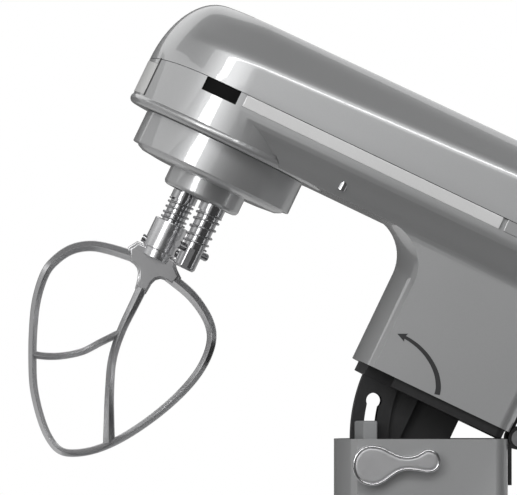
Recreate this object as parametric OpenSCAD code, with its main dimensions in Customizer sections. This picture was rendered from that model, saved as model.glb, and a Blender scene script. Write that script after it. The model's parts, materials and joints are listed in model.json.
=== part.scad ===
// Stand mixer with a lifting head and a planetary mixing drive.
// The head is drawn closed, about its hinge axis, and then lifted.

/* [Overall] */
// Height of the hinge axis above the table
hinge_height = 172; // [165:1:185]
// Distance of the hinge axis behind the origin
hinge_back = 147; // [140:1:155]
// Lift angle of the head in the stored pose
lift_angle = 25.6; // [10:0.2:26]
// Distance from the hinge axis to the mixing axis
reach = 252.5; // [250:0.5:256]

/* [Head] */
// Radius of the round nose, and half the width of the head
nose_r = 68.6; // [68:0.2:70]
// Height of the seam between cover and housing above the hinge
seam_z = 122.5; // [122:0.5:126]
// Height of the top of the cover above the hinge
head_top = 171.6; // [166:0.2:180]
// Height of the flat underside above the hinge
underside_z = 89.2; // [88:0.2:92]
// Height of the nose's lower lip above the hinge
lip_z = 88.4; // [88:0.2:89]
// Wall of the mouldings
wall = 3; // [2.4:0.1:3.4]

/* [Column] */
// Half width of the column
column_half = 57; // [56:0.5:58]
// Distance from the hinge axis to the bowed front of the column
column_front = 119; // [118:0.5:121]
// Distance from the hinge axis to the back of the column
column_rear = 8; // [8:0.1:9]
// Bow radius of the column's front
bow_r = 120; // [118:1:130]
// Fillet radius between column front and underside
arch_r = 28; // [20:1:30]
// Wall of the base casting
base_wall = 2.4; // [2:0.1:2.6]

/* [Foot] */
// Radius of the foot around the bowl
foot_r = 110; // [106:1:114]
// Height of the foot's top above the table
foot_top = 30; // [29:0.5:33]
// Radius of the bowl seat
seat_r = 60; // [56:1:64]
// Depth of the bowl seat
seat_depth = 6; // [4:0.5:7]
// Height of the rubber feet
rubber_h = 4; // [3:0.5:6]

/* [Mixing drive] */
// Radius of the fixed hub drum
hub_r = 55.6; // [55:0.2:57]
// Radius of the turning planet carrier
carrier_r = 26.3; // [26:0.1:27]
// Offset of each spindle from the mixing axis
spindle_offset = 14; // [13:1:14]
// Radius of a tool spindle
spindle_r = 7.15; // [7:0.05:7.3]
// Radius of the cross pins
cross_r = 2.6; // [2:0.1:2.8]
// Teeth of a planet gear
planet_teeth = 16; // [16:2:18]
// Teeth of the main gear
main_teeth = 60; // [60:2:62]
// Teeth of the pinion
pinion_teeth = 18; // [18:2:20]
// Radius of the large belt pulley
pulley_r = 34; // [30:1:36]
// Radius of the motor's belt pulley
motor_pulley_r = 8; // [7:0.5:9]

/* [Motor] */
// Distance from the hinge axis to the motor shaft
motor_back = 62.5; // [61:0.5:64]
// Outer radius of the stator
stator_r = 42; // [38:0.5:44]
// Radius of the armature
armature_r = 24.5; // [22:0.5:26]

/* [Beater] */
// Wall of the beater's collar
collar_wall = 4.2; // [3:0.1:5]
// Width of the beater's rim in its own plane
rim_w = 7.6; // [6:0.2:9]
// Thickness of the beater across its plane
rim_t = 9; // [7:0.5:11]

/* [Controls] */
// Radius of the big end of the lift lever
lever_r = 13.6; // [12:0.1:14]
// Radius of the small end of the lift lever
lever_tip_r = 8.1; // [7:0.1:9]
// Radius of the lock pin
lock_r = 4.8; // [4:0.1:4.8]
// Radius of the path of the lock pin in the swing arm
slot_path_r = 96.7; // [96:0.1:97.5]
// Radius of the speed dial
dial_r = 24; // [20:0.5:28]
// Height of the speed dial's axis above the table
dial_z = 91; // [90:1:94]

/* [Hidden] */
$fn = 64;
fit = 0.1;
gap = 0.3;
run = 0.05;

// ---------- places ----------
module at_hinge() translate([hinge_back, 0, hinge_height]) children();
module in_head() at_hinge() rotate([0, lift_angle, 0]) children();
module at_hub() translate([-reach, 0, 0]) children();
module at_motor() translate([-motor_back, 0, 0]) children();
// Extrudes an outline drawn in X and Z from y0 to y1
module side_extrude(y0, y1) translate([0, y1, 0]) rotate([90, 0, 0]) linear_extrude(y1 - y0) children();
// Extrudes an outline drawn in Y and Z from x0 to x1
module front_extrude(x0, x1) translate([x0, 0, 0]) rotate([90, 0, 90]) linear_extrude(x1 - x0) children();
// A cylinder along Y from y0 to y1
module bar_y(r, y0, y1) translate([0, y0, 0]) rotate([-90, 0, 0]) cylinder(r = r, h = y1 - y0);
module tube(r1, r0, h) difference() {
  cylinder(r = r1, h = h);
  translate([0, 0, -1]) cylinder(r = r0, h = h + 2);
}

// ---------- column and head forms ----------
bow_x = bow_r - column_front;
column_corner = 8;
flare = nose_r - column_half;
flare_z0 = underside_z - 5;
flare_z1 = 112;
head_rear = flare - column_rear;
base_rim_z = -0.3;
column_z = 0.5;
plate_z = -5.9;

// Plan of the column, drawn inwards by i, and by bow more at its front
module column_plan(i = 0, bow = 0) intersection() {
  translate([bow_x, 0]) circle(r = bow_r - i - bow, $fn = 160);
  union() {
    translate([-column_front, -column_half + i])
      square([column_front - column_rear - column_corner, 2 * (column_half - i)]);
    translate([-column_front, -column_half + column_corner])
      square([column_front - column_rear - i, 2 * (column_half - column_corner)]);
    for (s = [-1, 1]) translate([-column_rear - column_corner, s * (column_half - column_corner)])
      circle(r = column_corner - i);
  }
}
function ease(t) = (1 - cos(180 * t)) / 2;
flare_steps = 10;
// Outline of the flare from column to head, for a face at distance d that grows by the flare
function flare_line(d, i) = [for (k = [0 : flare_steps])
  [d + flare * ease(k / flare_steps) - i, flare_z0 + (flare_z1 - flare_z0) * k / flare_steps]];
function mirrored(p) = [for (k = [len(p) - 1 : -1 : 0]) [-p[k][0], p[k][1]]];
// Cross-section of the head and column, drawn inwards by i
module cross_section(i, z0, z1) {
  side = concat([[column_half - i, z0]], flare_line(column_half, i), [[nose_r - i, z1]]);
  polygon(concat(side, mirrored(side)));
}
// Side profile of the head from the hub to the back, drawn inwards by i
module back_profile(i, z0, z1) {
  back = concat([[-column_rear - i, z0]], flare_line(-column_rear, i), [[head_rear - i, z1]]);
  polygon(concat([[-reach, z1], [-reach, z0]], back));
}
// Everything behind the arch: under is the set-back below, front that of the column's front
module arch_form(under, front, z0, z1) {
  low = underside_z + under;
  r_front = bow_r - front;
  r_top = bow_r + arch_r;
  arc = [for (k = [0 : 12]) [r_top - (r_top - r_front) * cos(k * 7.5),
    underside_z - arch_r + (low - underside_z + arch_r) * sin(k * 7.5)]];
  translate([bow_x, 0, 0]) rotate_extrude($fn = 180)
    polygon(concat([[0, z0], [r_front, z0]], arc, [[r_top, z1], [0, z1]]));
  translate([-reach, -nose_r, low]) cube([reach, 2 * nose_r, z1 - low]);
}
module body_form(i, under, front, z0, z1) intersection() {
  front_extrude(-reach, head_rear + 1) cross_section(i, z0, z1);
  side_extrude(-nose_r - 1, nose_r + 1) back_profile(i, z0, z1);
  arch_form(under, front, z0, z1);
}
// The room that the column's rounded back leaves for the head, with the arch in front
module plan_room() {
  translate([-reach, -80, flare_z0]) cube([reach + 20, 160, 60]);
  translate([0, 0, column_z]) linear_extrude(flare_z0) union() {
    column_plan();
    translate([-reach, -column_half]) square([reach - column_front / 2, 2 * column_half]);
  }
}
cover_set = 6.5;
front_set = 1.5;

// Outline above the seam, which dips round the nose
seam_dip = 4.9;
seam_run = 41.5;
module above_seam(lift) {
  x1 = -reach - nose_r + seam_run;
  dip = [for (k = [0 : 8]) [x1 - seam_run * sin(k * 11.25), seam_z + lift - seam_dip * (1 - cos(k * 11.25))]];
  polygon(concat([[40, seam_z + lift]], dip, [[-reach - nose_r - 20, seam_z + lift - seam_dip],
    [-reach - nose_r - 20, head_top + 30], [40, head_top + 30]]));
}

// ---------- head shells ----------
dome_a = 31.9;
rear_a = 26;
rear_rise = 2.4;
// A round post with an elliptical shoulder: radius r, shoulder a wide and b high below the top
module shouldered(r, z0, top, a, b) rotate_extrude()
  polygon(concat([[0, z0], [r, z0]], [for (k = [0 : 9])
    [r - a * (1 - cos(10 * k)), top - b + b * sin(10 * k)]], [[0, top]]));
module cover_form(i) {
  z0 = seam_z - seam_dip - 1;
  hull() {
    at_hub() shouldered(nose_r - i, z0, head_top - i, dome_a - i / 2, head_top - seam_z, $fn = 72);
    for (s = [-1, 1]) translate([head_rear - rear_a, s * (nose_r - rear_a), 0])
      shouldered(rear_a - i, z0, head_top + rear_rise - i, rear_a - i, 33, $fn = 40);
  }
}
module head_cover() in_head() color("silver") intersection() {
  difference() {
    cover_form(0);
    cover_form(wall);
  }
  side_extrude(-nose_r - 5, nose_r + 5) above_seam(gap);
}

band_h = 8.1;
band_t = 2.4;
band_x0 = -reach;
band_x1 = -70.9;
band_gap = 3.2;
plate_half = 30.5;
name_z0 = 95.5;
name_z1 = 117;
catch_set = 4.3;
catch_w = 24;
catch_x1 = -reach - catch_set;
catch_x0 = catch_x1 - catch_w;
catch_z0 = 113.4;
peg_x = -172.3;
peg_y = -60.6;
peg_r = 2.9;
peg_z0 = 93.6;
peg_z1 = 102;
plan_z1 = seam_z + 1;
module head_plan(i = 0) {
  translate([-reach, 0]) circle(r = nose_r - i, $fn = 128);
  translate([-reach, -nose_r + i]) square([reach + head_rear - rear_a, 2 * (nose_r - i)]);
  translate([-reach, -nose_r + rear_a]) square([reach + head_rear - i, 2 * (nose_r - rear_a)]);
  for (s = [-1, 1]) translate([head_rear - rear_a, s * (nose_r - rear_a)]) circle(r = rear_a - i);
}
module name_sector(i) intersection() {
  at_hub() difference() {
    translate([0, 0, name_z0 - i]) cylinder(r = nose_r + 2, h = name_z1 - name_z0 + 2 * i);
    translate([0, 0, name_z0 - 2]) cylinder(r = nose_r - 1.4, h = name_z1 - name_z0 + 4);
  }
  translate([-reach - nose_r - 3, -plate_half - i, name_z0 - 1]) cube([nose_r, 2 * (plate_half + i), 40]);
}
hub_hole = 36;
lip_r = 3.5;
lip_out = 0.8;
lip_set = 2.4;
head_room = 80;
module head_housing() in_head() color("silver") difference() {
  union() {
    intersection() {
      at_hub() union() {
        translate([0, 0, lip_z + lip_r]) cylinder(r = nose_r, h = plan_z1 - lip_z - lip_r, $fn = 128);
        translate([0, 0, lip_z]) cylinder(r = nose_r - lip_set, h = 2 * lip_r);
        translate([0, 0, lip_z + lip_r]) rotate_extrude()
          translate([nose_r + lip_out - lip_r, 0]) circle(r = lip_r, $fn = 32);
      }
      translate([-reach - head_room, -head_room, 0]) cube([2 * head_room + 10, 2 * head_room, 200]);
    }
    intersection() {
      body_form(0, cover_set, front_set, column_z, plan_z1);
      translate([0, 0, column_z]) linear_extrude(plan_z1) union() {
        head_plan();
        column_plan();
      }
      plan_room();
    }
  }
  at_hub() translate([0, 0, lip_z + wall + 0.6]) cylinder(r = nose_r - wall, h = 60);
  at_hub() translate([0, 0, lip_z - 1]) cylinder(r = hub_hole, h = 10);
  intersection() {
    body_form(wall, cover_set - 1, front_set + wall, column_z - 1, plan_z1 + 1);
    union() {
      translate([-reach, -80, underside_z + cover_set - 1]) cube([reach + 20, 160, 60]);
      translate([0, 0, column_z - 1]) linear_extrude(underside_z + 20) column_plan(wall);
    }
  }
  side_extrude(-head_room, head_room) above_seam(0);
  for (s = [-1, 1]) translate([band_x0, s * nose_r - (s > 0 ? band_t : 0), seam_z - band_h])
    cube([band_x1 - band_x0 + band_gap, band_t, band_h + 1]);
  translate([0, 0, seam_z - band_h]) linear_extrude(band_h + 1) intersection() {
    difference() {
      head_plan(-1);
      head_plan(band_t);
    }
    translate([band_x1 + band_gap, -100]) square([120, 200]);
  }
  name_sector(fit);
  translate([catch_x0, -nose_r - 1, catch_z0]) cube([catch_x1 - catch_x0, 14, 20]);
  translate([peg_x, peg_y, peg_z0]) cylinder(r = peg_r + run, h = peg_z1 - peg_z0 + 4);
  rear_vents();
}
vents = 6;
vent_z = 24;
vent_pitch = 9;
vent_w = 60;
vent_h = 4;
module rear_vents() for (k = [0 : vents - 1])
  translate([-column_rear - wall - 2, -vent_w / 2, vent_z + vent_pitch * k]) cube([wall + 8, vent_w, vent_h]);
module front_cover() in_head() color("silver") difference() {
  intersection() {
    body_form(0, 0, 0, column_z, flare_z1);
    plan_room();
  }
  arch_form(cover_set, front_set, column_z - 1, flare_z1 + 1);
  at_hub() translate([0, 0, lip_z - 2]) cylinder(r = nose_r + 1, h = 20);
  translate([peg_x, peg_y, peg_z0]) cylinder(r = peg_r + run, h = peg_z1 - peg_z0 + 4);
}
module side_bands() in_head() color("gainsboro") for (s = [-1, 1])
  translate([band_x0, s * nose_r - (s > 0 ? band_t : 0), seam_z - band_h])
    cube([band_x1 - band_x0, band_t, band_h]);
module rear_band() in_head() color("gray") translate([0, 0, seam_z - band_h]) linear_extrude(band_h)
  intersection() {
    difference() {
      head_plan();
      head_plan(band_t);
    }
    translate([band_x1 + band_gap, -100]) square([120, 200]);
  }
module name_plate() in_head() color("white") intersection() {
  name_sector(0);
  at_hub() cylinder(r = nose_r + 0.3, h = 200);
}
module cover_catch() in_head() color("black") intersection() {
  translate([catch_x0, -nose_r - 1, catch_z0]) cube([catch_x1 - catch_x0, 14, seam_z - catch_z0]);
  at_hub() difference() {
    cylinder(r = nose_r - 1.2, h = 200);
    translate([0, 0, -1]) cylinder(r = nose_r - wall - 1, h = 210);
  }
}
module side_peg() in_head() color("gray") translate([peg_x, peg_y, 0]) {
  translate([0, 0, peg_z0]) cylinder(r = peg_r, h = peg_z1 - peg_z0 - peg_r);
  translate([0, 0, peg_z1 - peg_r]) sphere(r = peg_r);
}

// ---------- parts under the column ----------
block_x0 = -106.6;
block_x1 = -91.7;
block_y0 = -column_half + base_wall;
block_y1 = -40;
block_top = 11.4;
slot_a0 = 11;
slot_a1 = slot_a0 + lift_angle;
arm_y0 = -37.5;
arm_t = 5.5;
arm_clear = 10.5;
arm_r1 = column_front - arm_clear;
arm_r0 = 84;
arm_a1 = 43;
neck_r = 3;
plate_set = wall + fit;
duct_x0 = -69.5;
duct_x1 = -40;
duct_half = 25;
duct_z = -60;
plate_top = 4;
plate_screw_r = 2;
plate_screws_at = [for (x = [-80, -25], y = [-32, 32]) [x, y]];
// The room that the latch block needs as the head comes down over it
module block_room(z) translate([block_x0 - 3, block_y0 - 5, z])
  cube([block_x1 - block_x0 + 5.5, block_y1 - block_y0 + 6.5, 20]);
module column_plate() in_head() color("black") difference() {
  translate([0, 0, plate_z]) linear_extrude(plate_top - plate_z) column_plan(plate_set, front_set);
  block_room(plate_z - 1);
  translate([duct_x0, -duct_half, plate_z - 1]) cube([duct_x1 - duct_x0, 2 * duct_half, 20]);
  for (p = plate_screws_at) translate([p[0], p[1], plate_z - 1]) cylinder(r = plate_screw_r, h = 20);
}
module plate_screws() in_head() color("dimgray") for (p = plate_screws_at) translate([p[0], p[1], 0]) {
  translate([0, 0, plate_z]) cylinder(r = plate_screw_r, h = plate_top - plate_z + 0.5);
  translate([0, 0, plate_top]) cylinder(r = plate_screw_r + 1.6, h = 2);
}
// Sector between two radii, from angle a0 to a1 below the forward direction
module sector(r0, r1, a0, a1) intersection() {
  difference() {
    circle(r = r1, $fn = 160);
    circle(r = r0, $fn = 160);
  }
  polygon([[0, 0], [-300 * cos(a0), -300 * sin(a0)], [-300 * cos((a0 + a1) / 2), -300 * sin((a0 + a1) / 2)],
    [-300 * cos(a1), -300 * sin(a1)]]);
}
module polar(r, a) translate([-r * cos(a), -r * sin(a)]) children();
module arm_outline() {
  sector(arm_r0, arm_r1, 1, arm_a1);
  polygon([[-100, plate_z], [-100, -20], [-86, -34], [duct_x0 - 4, -26], [duct_x0 - 4, plate_z]]);
}
module below_plate() translate([-200, -200]) square([200, 200 + plate_z]);
module swing_arm() in_head() color("black") difference() {
  union() {
    side_extrude(arm_y0, arm_y0 + arm_t) intersection() {
      arm_outline();
      below_plate();
    }
    side_extrude(-arm_y0 - arm_t, -arm_y0) intersection() {
      arm_outline();
      below_plate();
    }
    side_extrude(arm_y0 + arm_t, -arm_y0 - arm_t) intersection() {
      sector(arm_r1 - 4, arm_r1, 1, arm_a1);
      below_plate();
    }
  }
  side_extrude(arm_y0 - 1, arm_y0 + arm_t + 1) {
    sector(slot_path_r - neck_r - 0.2, slot_path_r + neck_r + 0.2, slot_a0, slot_a1);
    polar(slot_path_r, slot_a0) circle(r = lock_r + 0.2);
    polar(slot_path_r, slot_a1) circle(r = neck_r + 0.2);
  }
}
module cable_duct() in_head() color("black") difference() {
  translate([duct_x0, -duct_half, duct_z]) cube([duct_x1 - duct_x0, 2 * duct_half, 8 - duct_z]);
  translate([duct_x0 + 2, -duct_half + 2, duct_z - 1]) cube([duct_x1 - duct_x0 - 4, 2 * duct_half - 4, 80]);
}

// ---------- hinge ----------
knuckle_r = 7.5;
hinge_pin_r = 4;
ear_in = 30;
ear_out = 46;
lug_t = 2.6;
module hinge_bracket() at_hinge() color("black") difference() {
  union() {
    for (s = [-1, 1]) {
      bar_y(knuckle_r, min(s * ear_in, s * ear_out), max(s * ear_in, s * ear_out));
      translate([-column_rear, min(s * ear_in, s * ear_out), -30]) cube([lug_t, ear_out - ear_in, 26]);
    }
    translate([-column_rear, -ear_out, -30]) cube([lug_t, 2 * ear_out, 14]);
  }
  bar_y(hinge_pin_r, -60, 60);
}
module hinge_barrel() in_head() color("black") difference() {
  union() {
    bar_y(knuckle_r, -ear_in + gap, ear_in - gap);
    translate([-column_rear, -ear_in + gap, 0]) cube([lug_t, 2 * (ear_in - gap), 22]);
  }
  bar_y(hinge_pin_r + run, -60, 60);
}
module hinge_pin() at_hinge() color("silver") {
  bar_y(hinge_pin_r, -ear_out, ear_out);
  for (s = [-1, 1]) bar_y(hinge_pin_r + 1.5, s * (ear_out + 0.8) - 0.8, s * (ear_out + 0.8) + 0.8);
}

// ---------- base ----------
plate_t = 2.5;
foot_edge = 14;
skirt_z = 58;
foot_back = 10;
foot_back_half = 78;
foot_corner = 30;
floor_t = 3;
corner_x = foot_back - foot_corner;
corner_y = foot_back_half - foot_corner;
// Direction of the normal of the side that touches the foot's front and corner circles
corner_way = [corner_x + reach, corner_y];
side_a = atan2(corner_way[1], corner_way[0]) + acos((foot_r - foot_corner) / norm(corner_way));
module foot_plan(i) {
  n = [cos(side_a), sin(side_a)];
  half = [[-reach, 0] + (foot_r - i) * n, [corner_x, corner_y] + (foot_corner - i) * n,
    [corner_x, foot_back_half - i], [corner_x, corner_y], [foot_back - i, corner_y]];
  translate([-reach, 0]) circle(r = foot_r - i, $fn = 96);
  for (s = [-1, 1]) translate([corner_x, s * corner_y]) circle(r = foot_corner - i, $fn = 48);
  polygon(concat([for (p = half) p], [for (k = [len(half) - 1 : -1 : 0]) [half[k][0], -half[k][1]]]));
}
module foot_form(i, z0) hull() {
  translate([0, 0, z0]) linear_extrude(foot_edge - z0) foot_plan(i);
  translate([0, 0, foot_edge]) linear_extrude(foot_top - foot_edge - 7 - i) foot_plan(i + 1);
  translate([0, 0, foot_edge]) linear_extrude(foot_top - foot_edge - 2 - i) foot_plan(i + 4.5);
  translate([0, 0, foot_edge]) linear_extrude(foot_top - foot_edge - i) foot_plan(i + 10);
}
module skirt_form(i) hull() {
  translate([0, 0, foot_top - i - 1]) linear_extrude(1) intersection() {
    offset(9 - i) column_plan();
    foot_plan(10);
  }
  translate([0, 0, foot_top + 9]) linear_extrude(1) offset(3.5 - i) column_plan();
  translate([0, 0, skirt_z]) linear_extrude(1) column_plan(i);
}
lever_x = -slot_path_r * cos(slot_a0);
lever_z = -slot_path_r * sin(slot_a0);
bush_r = 10.5;
dial_x = -62;
dial_shaft_r = 4;
rim_z = hinge_height + base_rim_z;
cavity_z = foot_top + 4;
module base_casting() translate([hinge_back, 0, 0]) color("silver") difference() {
  union() {
    difference() {
      foot_form(0, rubber_h + plate_t);
      foot_form(floor_t, rubber_h + plate_t - 1);
    }
    skirt_form(0);
    translate([0, 0, foot_top - floor_t]) linear_extrude(rim_z - foot_top + floor_t) column_plan();
    at_hub() translate([0, 0, foot_top - seat_depth - floor_t])
      cylinder(r = seat_r + floor_t, h = seat_depth + floor_t - 0.5);
    for (p = screw_spots) translate([p[0], p[1], rubber_h + plate_t])
      cylinder(r = 6, h = foot_top - rubber_h - plate_t - floor_t + 0.5);
  }
  at_hub() translate([0, 0, foot_top - seat_depth]) cylinder(r = seat_r, h = 40);
  translate([0, 0, cavity_z]) linear_extrude(200) column_plan(base_wall);
  translate([0, 0, hinge_height]) {
    translate([lever_x, 0, lever_z]) bar_y(bush_r, -80, -40);
    translate([dial_x, 0, dial_z - hinge_height]) bar_y(dial_shaft_r + 1, -80, -40);
  }
  translate([-20, 0, gland_z]) rotate([0, 90, 0]) cylinder(r = gland_r, h = 60);
  for (p = screw_spots) translate([p[0], p[1], 0]) cylinder(r = 2, h = 20);
}
screw_spots = [for (s = [-1, 1]) for (x = [-300, -20]) [x, s * (x < -100 ? 78 : 58)]];
gland_r = 7;
gland_z = 72;
module base_plate() translate([hinge_back, 0, 0]) color("dimgray") difference() {
  translate([0, 0, rubber_h]) linear_extrude(plate_t) foot_plan(1.5);
  for (p = screw_spots) translate([p[0], p[1], 0]) cylinder(r = 2, h = 20);
}
feet_spots = [[-330, 50], [-330, -50], [-200, 88], [-200, -88], [-18, 40], [-18, -40]];
module rubber_feet() translate([hinge_back, 0, 0]) color("black") for (p = feet_spots)
  translate([p[0], p[1], 0]) cylinder(r1 = 9, r2 = 11, h = rubber_h);
module base_screws() translate([hinge_back, 0, 0]) color("dimgray") for (p = screw_spots)
  translate([p[0], p[1], 0]) {
    translate([0, 0, rubber_h - 1.6]) cylinder(r = 4, h = 1.6);
    translate([0, 0, rubber_h - 1.6]) cylinder(r = 2, h = 14);
  }
module bowl_seat_ring() translate([hinge_back, 0, 0]) at_hub() translate([0, 0, foot_top - seat_depth])
  color("dimgray") difference() {
    cylinder(r = seat_r, h = seat_depth + 1.5, $fn = 128);
    translate([0, 0, 1.5]) cylinder(r = seat_r - 4, h = 30, $fn = 128);
    translate([0, 0, -1]) cylinder(r = seat_r - 14, h = 30);
  }
block_low = -36;
// The block that guides the lock pin: inside the base's wall below the rim, inside the head's wall above it
module latch_block() at_hinge() color("gray") difference() {
  intersection() {
    translate([block_x0, block_y0, block_low])
      cube([block_x1 - block_x0, block_y1 - block_y0, block_top - block_low]);
    union() {
      translate([0, 0, block_low]) linear_extrude(-1 - block_low) column_plan(base_wall);
      translate([0, 0, block_low]) linear_extrude(block_top - block_low) column_plan(wall + 0.8, front_set);
    }
  }
  translate([lever_x, 0, lever_z]) bar_y(lock_r + run, block_y0 - 1, block_y1 + 1);
  translate([lever_x, 0, lever_z]) bar_y(shaft_r + 0.2, block_y0 - 1, shaft_y1 + gap);
}
shaft_r = 7.4;
shaft_y1 = -49;
lever_y0 = -column_half - 10;
lever_t = 5.4;
module lever_bush() at_hinge() color("black") translate([lever_x, 0, lever_z]) difference() {
  union() {
    bar_y(bush_r, -column_half - 1, -column_half + base_wall);
    bar_y(bush_r + 1.5, -column_half - 1.6, -column_half);
  }
  bar_y(shaft_r + run, -80, -40);
}
module lever_shaft() at_hinge() color("silver") translate([lever_x, 0, lever_z]) difference() {
  bar_y(shaft_r, lever_y0 + lever_t, shaft_y1);
  bar_y(lock_r + run, lever_y0 + lever_t + 1.5, shaft_y1 + 1);
}
lever_span = 36.9;
lever_drop = -2.9;
waist = 4.9;
module lever_outline(i) offset(r = -6) offset(r = 6) {
  circle(r = lever_r - i);
  translate([lever_span, -lever_drop]) circle(r = lever_tip_r - i);
  rotate(atan2(-lever_drop, lever_span)) translate([0, -waist + i]) square([lever_span, 2 * (waist - i)]);
}
rim_ring = 1.6;
module lift_lever() at_hinge() color("silver") translate([lever_x, 0, lever_z])
  side_extrude(lever_y0 + 0.6, lever_y0 + lever_t) lever_outline(rim_ring);
module lever_rim() at_hinge() color("gainsboro") translate([lever_x, 0, lever_z])
  side_extrude(lever_y0, lever_y0 + lever_t) difference() {
    lever_outline(0);
    lever_outline(rim_ring);
  }
pin_y0 = -column_half + 1.2;
module lock_pin() at_hinge() color("silver") translate([lever_x, 0, lever_z]) {
  bar_y(lock_r, pin_y0, arm_y0 - gap);
  bar_y(neck_r, arm_y0 - gap, arm_y0 + arm_t + 1.5);
}
module cord_gland() translate([hinge_back, 0, 0]) color("black") difference() {
  translate([-column_rear - base_wall, 0, gland_z]) rotate([0, 90, 0]) {
    cylinder(r = gland_r, h = base_wall);
    translate([0, 0, base_wall]) cylinder(r = gland_r + 3, h = 2.5);
  }
  translate([-40, 0, gland_z]) rotate([0, 90, 0]) cylinder(r = 3.6, h = 80);
}
module control_board() translate([hinge_back, 0, 0]) color("green") {
  translate([-104, -40, cavity_z + 8]) cube([80, 70, 1.6]);
  for (x = [-98, -32], y = [-34, 22]) translate([x, y, cavity_z]) cylinder(r = 3, h = 8);
  for (k = [0 : 3]) translate([-92 + 16 * k, 4, cavity_z + 9.6]) cylinder(r = 5, h = 16);
}
module speed_switch() translate([hinge_back + dial_x, 0, dial_z]) color("dimgray") difference() {
  translate([-15, -column_half + base_wall, -15]) cube([30, 16, 30]);
  bar_y(dial_shaft_r + run, -column_half - 1, -column_half + base_wall + 12);
}
knob_h = 15;
scale_t = 1.2;
module dial_scale() translate([hinge_back + dial_x, 0, dial_z]) color("gainsboro") difference() {
  bar_y(dial_r + 6, -column_half - scale_t, -column_half);
  bar_y(dial_shaft_r + 1, -80, -40);
}
module speed_dial() translate([hinge_back + dial_x, 0, dial_z]) color("silver") {
  difference() {
    bar_y(dial_r, -column_half - scale_t - gap - knob_h, -column_half - scale_t - gap);
    bar_y(dial_r - 3, -column_half - scale_t - gap - knob_h - 1, -column_half - scale_t - gap - knob_h + 2);
    for (k = [0 : 29]) rotate([0, 12 * k, 0]) translate([dial_r + 0.3, 0, 0])
      bar_y(1.2, -column_half - scale_t - gap - knob_h - 1, -column_half - scale_t - gap - 4);
  }
  bar_y(dial_shaft_r, -column_half - scale_t - gap, -column_half + base_wall + 10);
}
module dial_cap() translate([hinge_back + dial_x, 0, dial_z]) color("black")
  bar_y(dial_r - 3.2, -column_half - scale_t - gap - knob_h + 0.6, -column_half - scale_t - gap - knob_h + 2);

// ---------- gears ----------
press_angle = 25;
function inv(a) = tan(a) * 180 / PI - a;
// Half the angle of a tooth at radius r
function half_tooth(n, m, r, play) = let (rp = n * m / 2, rb = rp * cos(press_angle))
  90 / n - play * 90 / (PI * rp) + inv(press_angle) - inv(acos(min(1, rb / r)));
flank_steps = 4;
// Outline of a spur gear with involute flanks and its first tooth along +X
module gear_outline(n, m, add, ded, play) {
  rp = n * m / 2;
  low = max(rp * cos(press_angle), rp - ded * m);
  high = rp + add * m;
  radii = [for (k = [0 : flank_steps]) low + (high - low) * k / flank_steps];
  root = rp - ded * m;
  polygon([for (t = [0 : n - 1]) let (mid = 360 * t / n) for (p = concat(
    [[root, -half_tooth(n, m, low, play) - 0.4]],
    [for (r = radii) [r, -half_tooth(n, m, r, play)]],
    [for (k = [flank_steps : -1 : 0]) [radii[k], half_tooth(n, m, radii[k], play)]],
    [[root, half_tooth(n, m, low, play) + 0.4]])) [p[0] * cos(mid + p[1]), p[0] * sin(mid + p[1])]]);
}
backlash = 0.24;

// ---------- mixing drive ----------
planet_m = 1;
ring_teeth = planet_teeth + 2 * spindle_offset / planet_m;
spur_m = 1.5;
lay_x = -reach + (main_teeth + pinion_teeth) * spur_m / 2;
front_a = 135;
rear_a_pos = front_a - 180;
drum_z = 66.3;
roof_t = 3.5;
disc_z = 62.4;
carrier_z = 50.5;
carrier_top = 67.6;
ring_z = 70;
ring_h = 7.5;
cage_z = 79;
cage_t = 3.5;
cage_r = 20.5;
post_at = 15.5;
post_r = 3.8;
journal_r = 4;
shaft_top = 117;
main_r = 8;
main_z = 99;
main_h = 9;
module hub_drum() in_head() at_hub() color("silver") difference() {
  translate([0, 0, drum_z]) cylinder(r = hub_r, h = lip_z - drum_z);
  translate([0, 0, drum_z - 1]) cylinder(r = hub_r - wall, h = lip_z - drum_z - roof_t + 1);
  cylinder(r = main_r + 8, h = 200);
}
module hub_disc() in_head() at_hub() color("silver") difference() {
  rotate_extrude() polygon([[carrier_r + 0.9, disc_z], [hub_r - 18, disc_z], [hub_r - 8, disc_z + 1],
    [hub_r - 4.5, disc_z + 2.6], [hub_r - 3.4, drum_z], [hub_r - wall, drum_z], [hub_r - wall, drum_z + 1.5],
    [carrier_r + 0.9, drum_z + 1.5]]);
}
module ring_gear() in_head() at_hub() color("gray") difference() {
  union() {
    translate([0, 0, ring_z]) cylinder(r = ring_teeth / 2 + 5, h = ring_h);
    translate([0, 0, ring_z + ring_h - 3]) cylinder(r = hub_r - wall, h = 3);
  }
  translate([0, 0, ring_z - 1]) linear_extrude(ring_h + 2) rotate(front_a)
    gear_outline(ring_teeth, planet_m, 1.25, 0.9, -backlash);
}
module carrier_bearing() in_head() at_hub() translate([0, 0, lip_z - roof_t]) color("gray") {
  rotate_extrude() polygon([[main_r + run, 0], [main_r + 3, 0], [main_r + 3, 1], [main_r + 5, 1],
    [main_r + 5, 0], [main_r + 8, 0], [main_r + 8, 7], [main_r + 5, 7], [main_r + 5, 6], [main_r + 3, 6],
    [main_r + 3, 7], [main_r + run, 7]]);
}
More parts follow.
